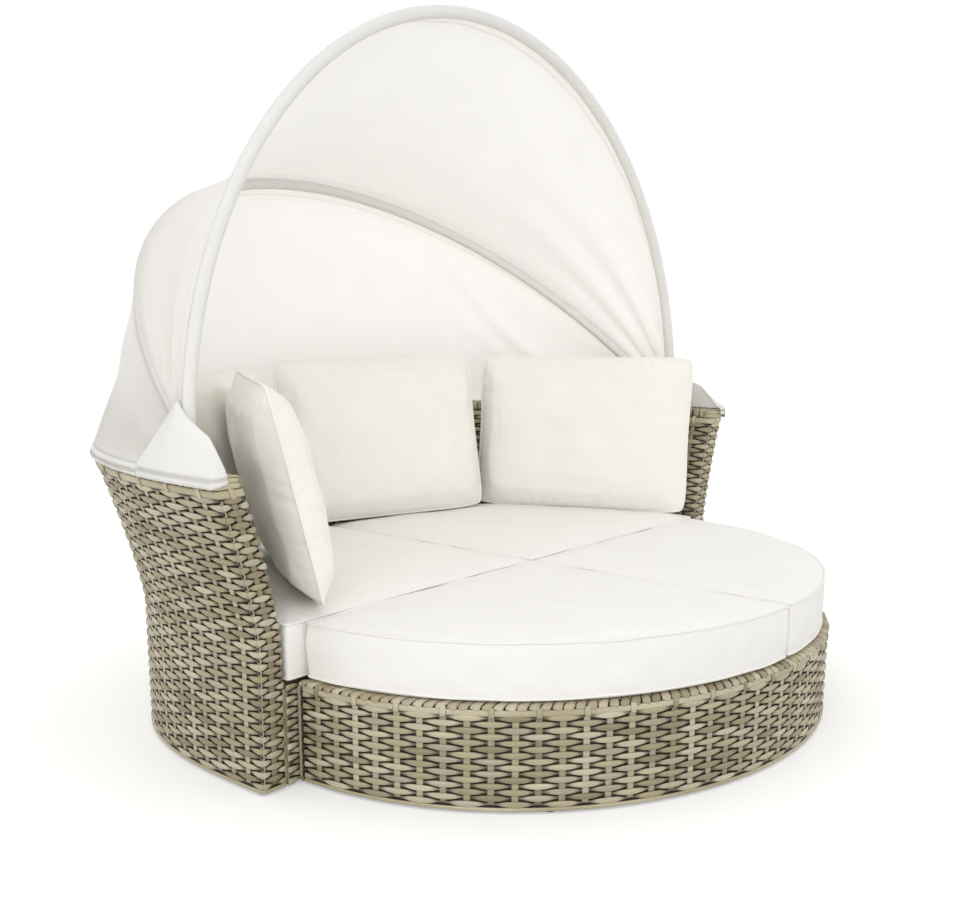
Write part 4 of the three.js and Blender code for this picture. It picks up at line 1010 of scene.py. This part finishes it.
def filled(mesh, points):
    """The points of a cover after it is blown up by its filling. None moves by over 24 mm, and
    the filling at the seam holds the edges out to within 5 mm."""
    pull_in, swell = 0.005, 0.024
    piece = placed("filling", mesh)
    cloth = piece.modifiers.new("filling", "CLOTH")
    cloth.settings.use_pressure = True
    cloth.settings.uniform_pressure_force = 4.0
    cloth.settings.quality = 5
    cloth.settings.mass = 0.3
    cloth.settings.tension_stiffness = 12
    cloth.settings.compression_stiffness = 12
    cloth.settings.bending_stiffness = 0.2
    cloth.settings.shrink_min = -0.04
    cloth.settings.effector_weights.gravity = 0
    cloth.collision_settings.use_collision = False
    for step in range(1, 21):
        bpy.context.scene.frame_set(step)
    blown = piece.evaluated_get(bpy.context.evaluated_depsgraph_get()).to_mesh()
    moved = np.empty(len(points) * 3)
    blown.vertices.foreach_get("co", moved)
    moved = moved.reshape(-1, 3) - points
    bpy.data.objects.remove(piece)
    bpy.context.scene.frame_set(1)
    moved[:, ::2] = np.clip(moved[:, ::2], -pull_in, pull_in)
    moved[:, 1] = np.clip(moved[:, 1], -swell, swell)
    return points + moved


def fibre_pillow(name, across, behind, turned, leaned, seed):
    """A pillow that stands at a place on the seat, turned and leaned back by angles in degrees."""
    columns, rows = 84, 60
    gather_length, welt_radius = 0.036, 0.0036
    u, v = np.meshgrid(np.linspace(-1, 1, columns + 1), np.linspace(-1, 1, rows + 1), indexing="ij")
    round_off = 1 - 0.045 * (u * v) ** 6
    x = pillow_half[0] * u * (1 - 0.03 * (1 - v * v)) * round_off
    z = pillow_half[2] * v * (1 - np.where(v > 0, 0.03, 0.008) * (1 - u * u)) * round_off
    full = np.maximum((1 - np.abs(u) ** 2.6) * (1 - np.abs(v) ** 2.6), 0) ** 0.6
    flat = np.stack([x, 0 * x, z], -1)

    # The two cloths of the cover share the points of the seam.
    y = (pillow_half[1] * 0.84 + 0.003 * ripples(flat, seed, 0.1)) * full
    edge = (np.abs(u) == 1) | (np.abs(v) == 1)
    front = np.arange(u.size).reshape(u.shape)
    back = front.copy()
    back[~edge] = u.size + np.arange((~edge).sum())
    points = np.vstack([np.stack([x, -y, z], -1).reshape(-1, 3), np.stack([x, y, z], -1)[~edge]])
    faces = []
    for grid, order in ((front, (0, 1, 2, 3)), (back, (3, 2, 1, 0))):
        quads = np.stack([grid[:-1, :-1], grid[1:, :-1], grid[1:, 1:], grid[:-1, 1:]], -1)
        faces += quads.reshape(-1, 4)[:, order].tolist()
    mesh = bpy.data.meshes.new(name + "_start")
    mesh.from_pydata(points.tolist(), [], faces)
    points = filled(mesh, points)
    seam = np.concatenate([front[:-1, 0], front[-1, :-1], front[:0:-1, -1], front[0, :0:-1]])
    for _ in range(2):
        points[seam] = (np.roll(points[seam], 1, 0) + 2 * points[seam] + np.roll(points[seam], -1, 0)) / 4

    # Short gathers run in from the seam, where the filling pulls at it.
    from_side, from_end = pillow_half[0] * (1 - np.abs(u)), pillow_half[2] * (1 - np.abs(v))
    reach = np.minimum(from_side, from_end)
    sideways = np.where(from_side < from_end, z, x)
    gather = np.sin(2 * math.pi * sideways / gather_length + 2.2 * ripples(flat, seed + 1, 0.2))
    gather *= 0.0016 * np.exp(-((reach - 0.016) / 0.018) ** 2) * (1 + 0.8 * ripples(flat, seed + 2, 0.15))
    points[:u.size, 1] -= gather.ravel() * (~edge).ravel()
    points[u.size:, 1] += gather[~edge]
    points *= pillow_half / np.abs(points).max(0)
    welt_way = points[seam] * [1, 0, 1]
    points = points + [0, 0, pillow_half[2]]
    lean, turn = math.radians(leaned), math.radians(turned)
    tilt = np.array([[1, 0, 0], [0, math.cos(lean), math.sin(lean)], [0, -math.sin(lean), math.cos(lean)]])
    spin = np.array([[math.cos(turn), math.sin(turn), 0], [-math.sin(turn), math.cos(turn), 0], [0, 0, 1]])
    points = points @ (spin @ tilt).T
    points += [across, behind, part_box(name)[0].z + 0.0012 - points[:, 2].min()]
    place = np.vstack([flat.reshape(-1, 3)[:, [0, 2, 1]], flat[~edge][:, [0, 2, 1]] + [1, 0, 0]])
    blocks = [(points, place, faces), welt(points[seam], welt_way @ (spin @ tilt).T, welt_radius)]
    piece = cover(name.replace("pillow", "fibre_pillow"), blocks, pillow_cover, name, "sofa")

    # The cover is smoothed, and its seam stays a crisp edge under the welt.
    seam_edges = {frozenset(pair) for pair in zip(seam.tolist(), np.roll(seam, -1).tolist())}
    crease = [float(frozenset(edge.vertices) in seam_edges) for edge in piece.data.edges]
    piece.data.attributes.new("crease_edge", "FLOAT", "EDGE").data.foreach_set("value", crease)
    smooth = piece.modifiers.new("smooth", "SUBSURF")
    smooth.levels = smooth.render_levels = 1


fibre_pillow("right_side_pillow", 0.672, 0.164, 68.5, 8.3, 81)
fibre_pillow("right_back_pillow", 0.180, 0.507, 17, 11, 82)
fibre_pillow("left_back_pillow", -0.465, 0.424, -28, 11.7, 83)
fibre_pillow("left_side_pillow", -0.554, 0.095, -56, 13, 84)
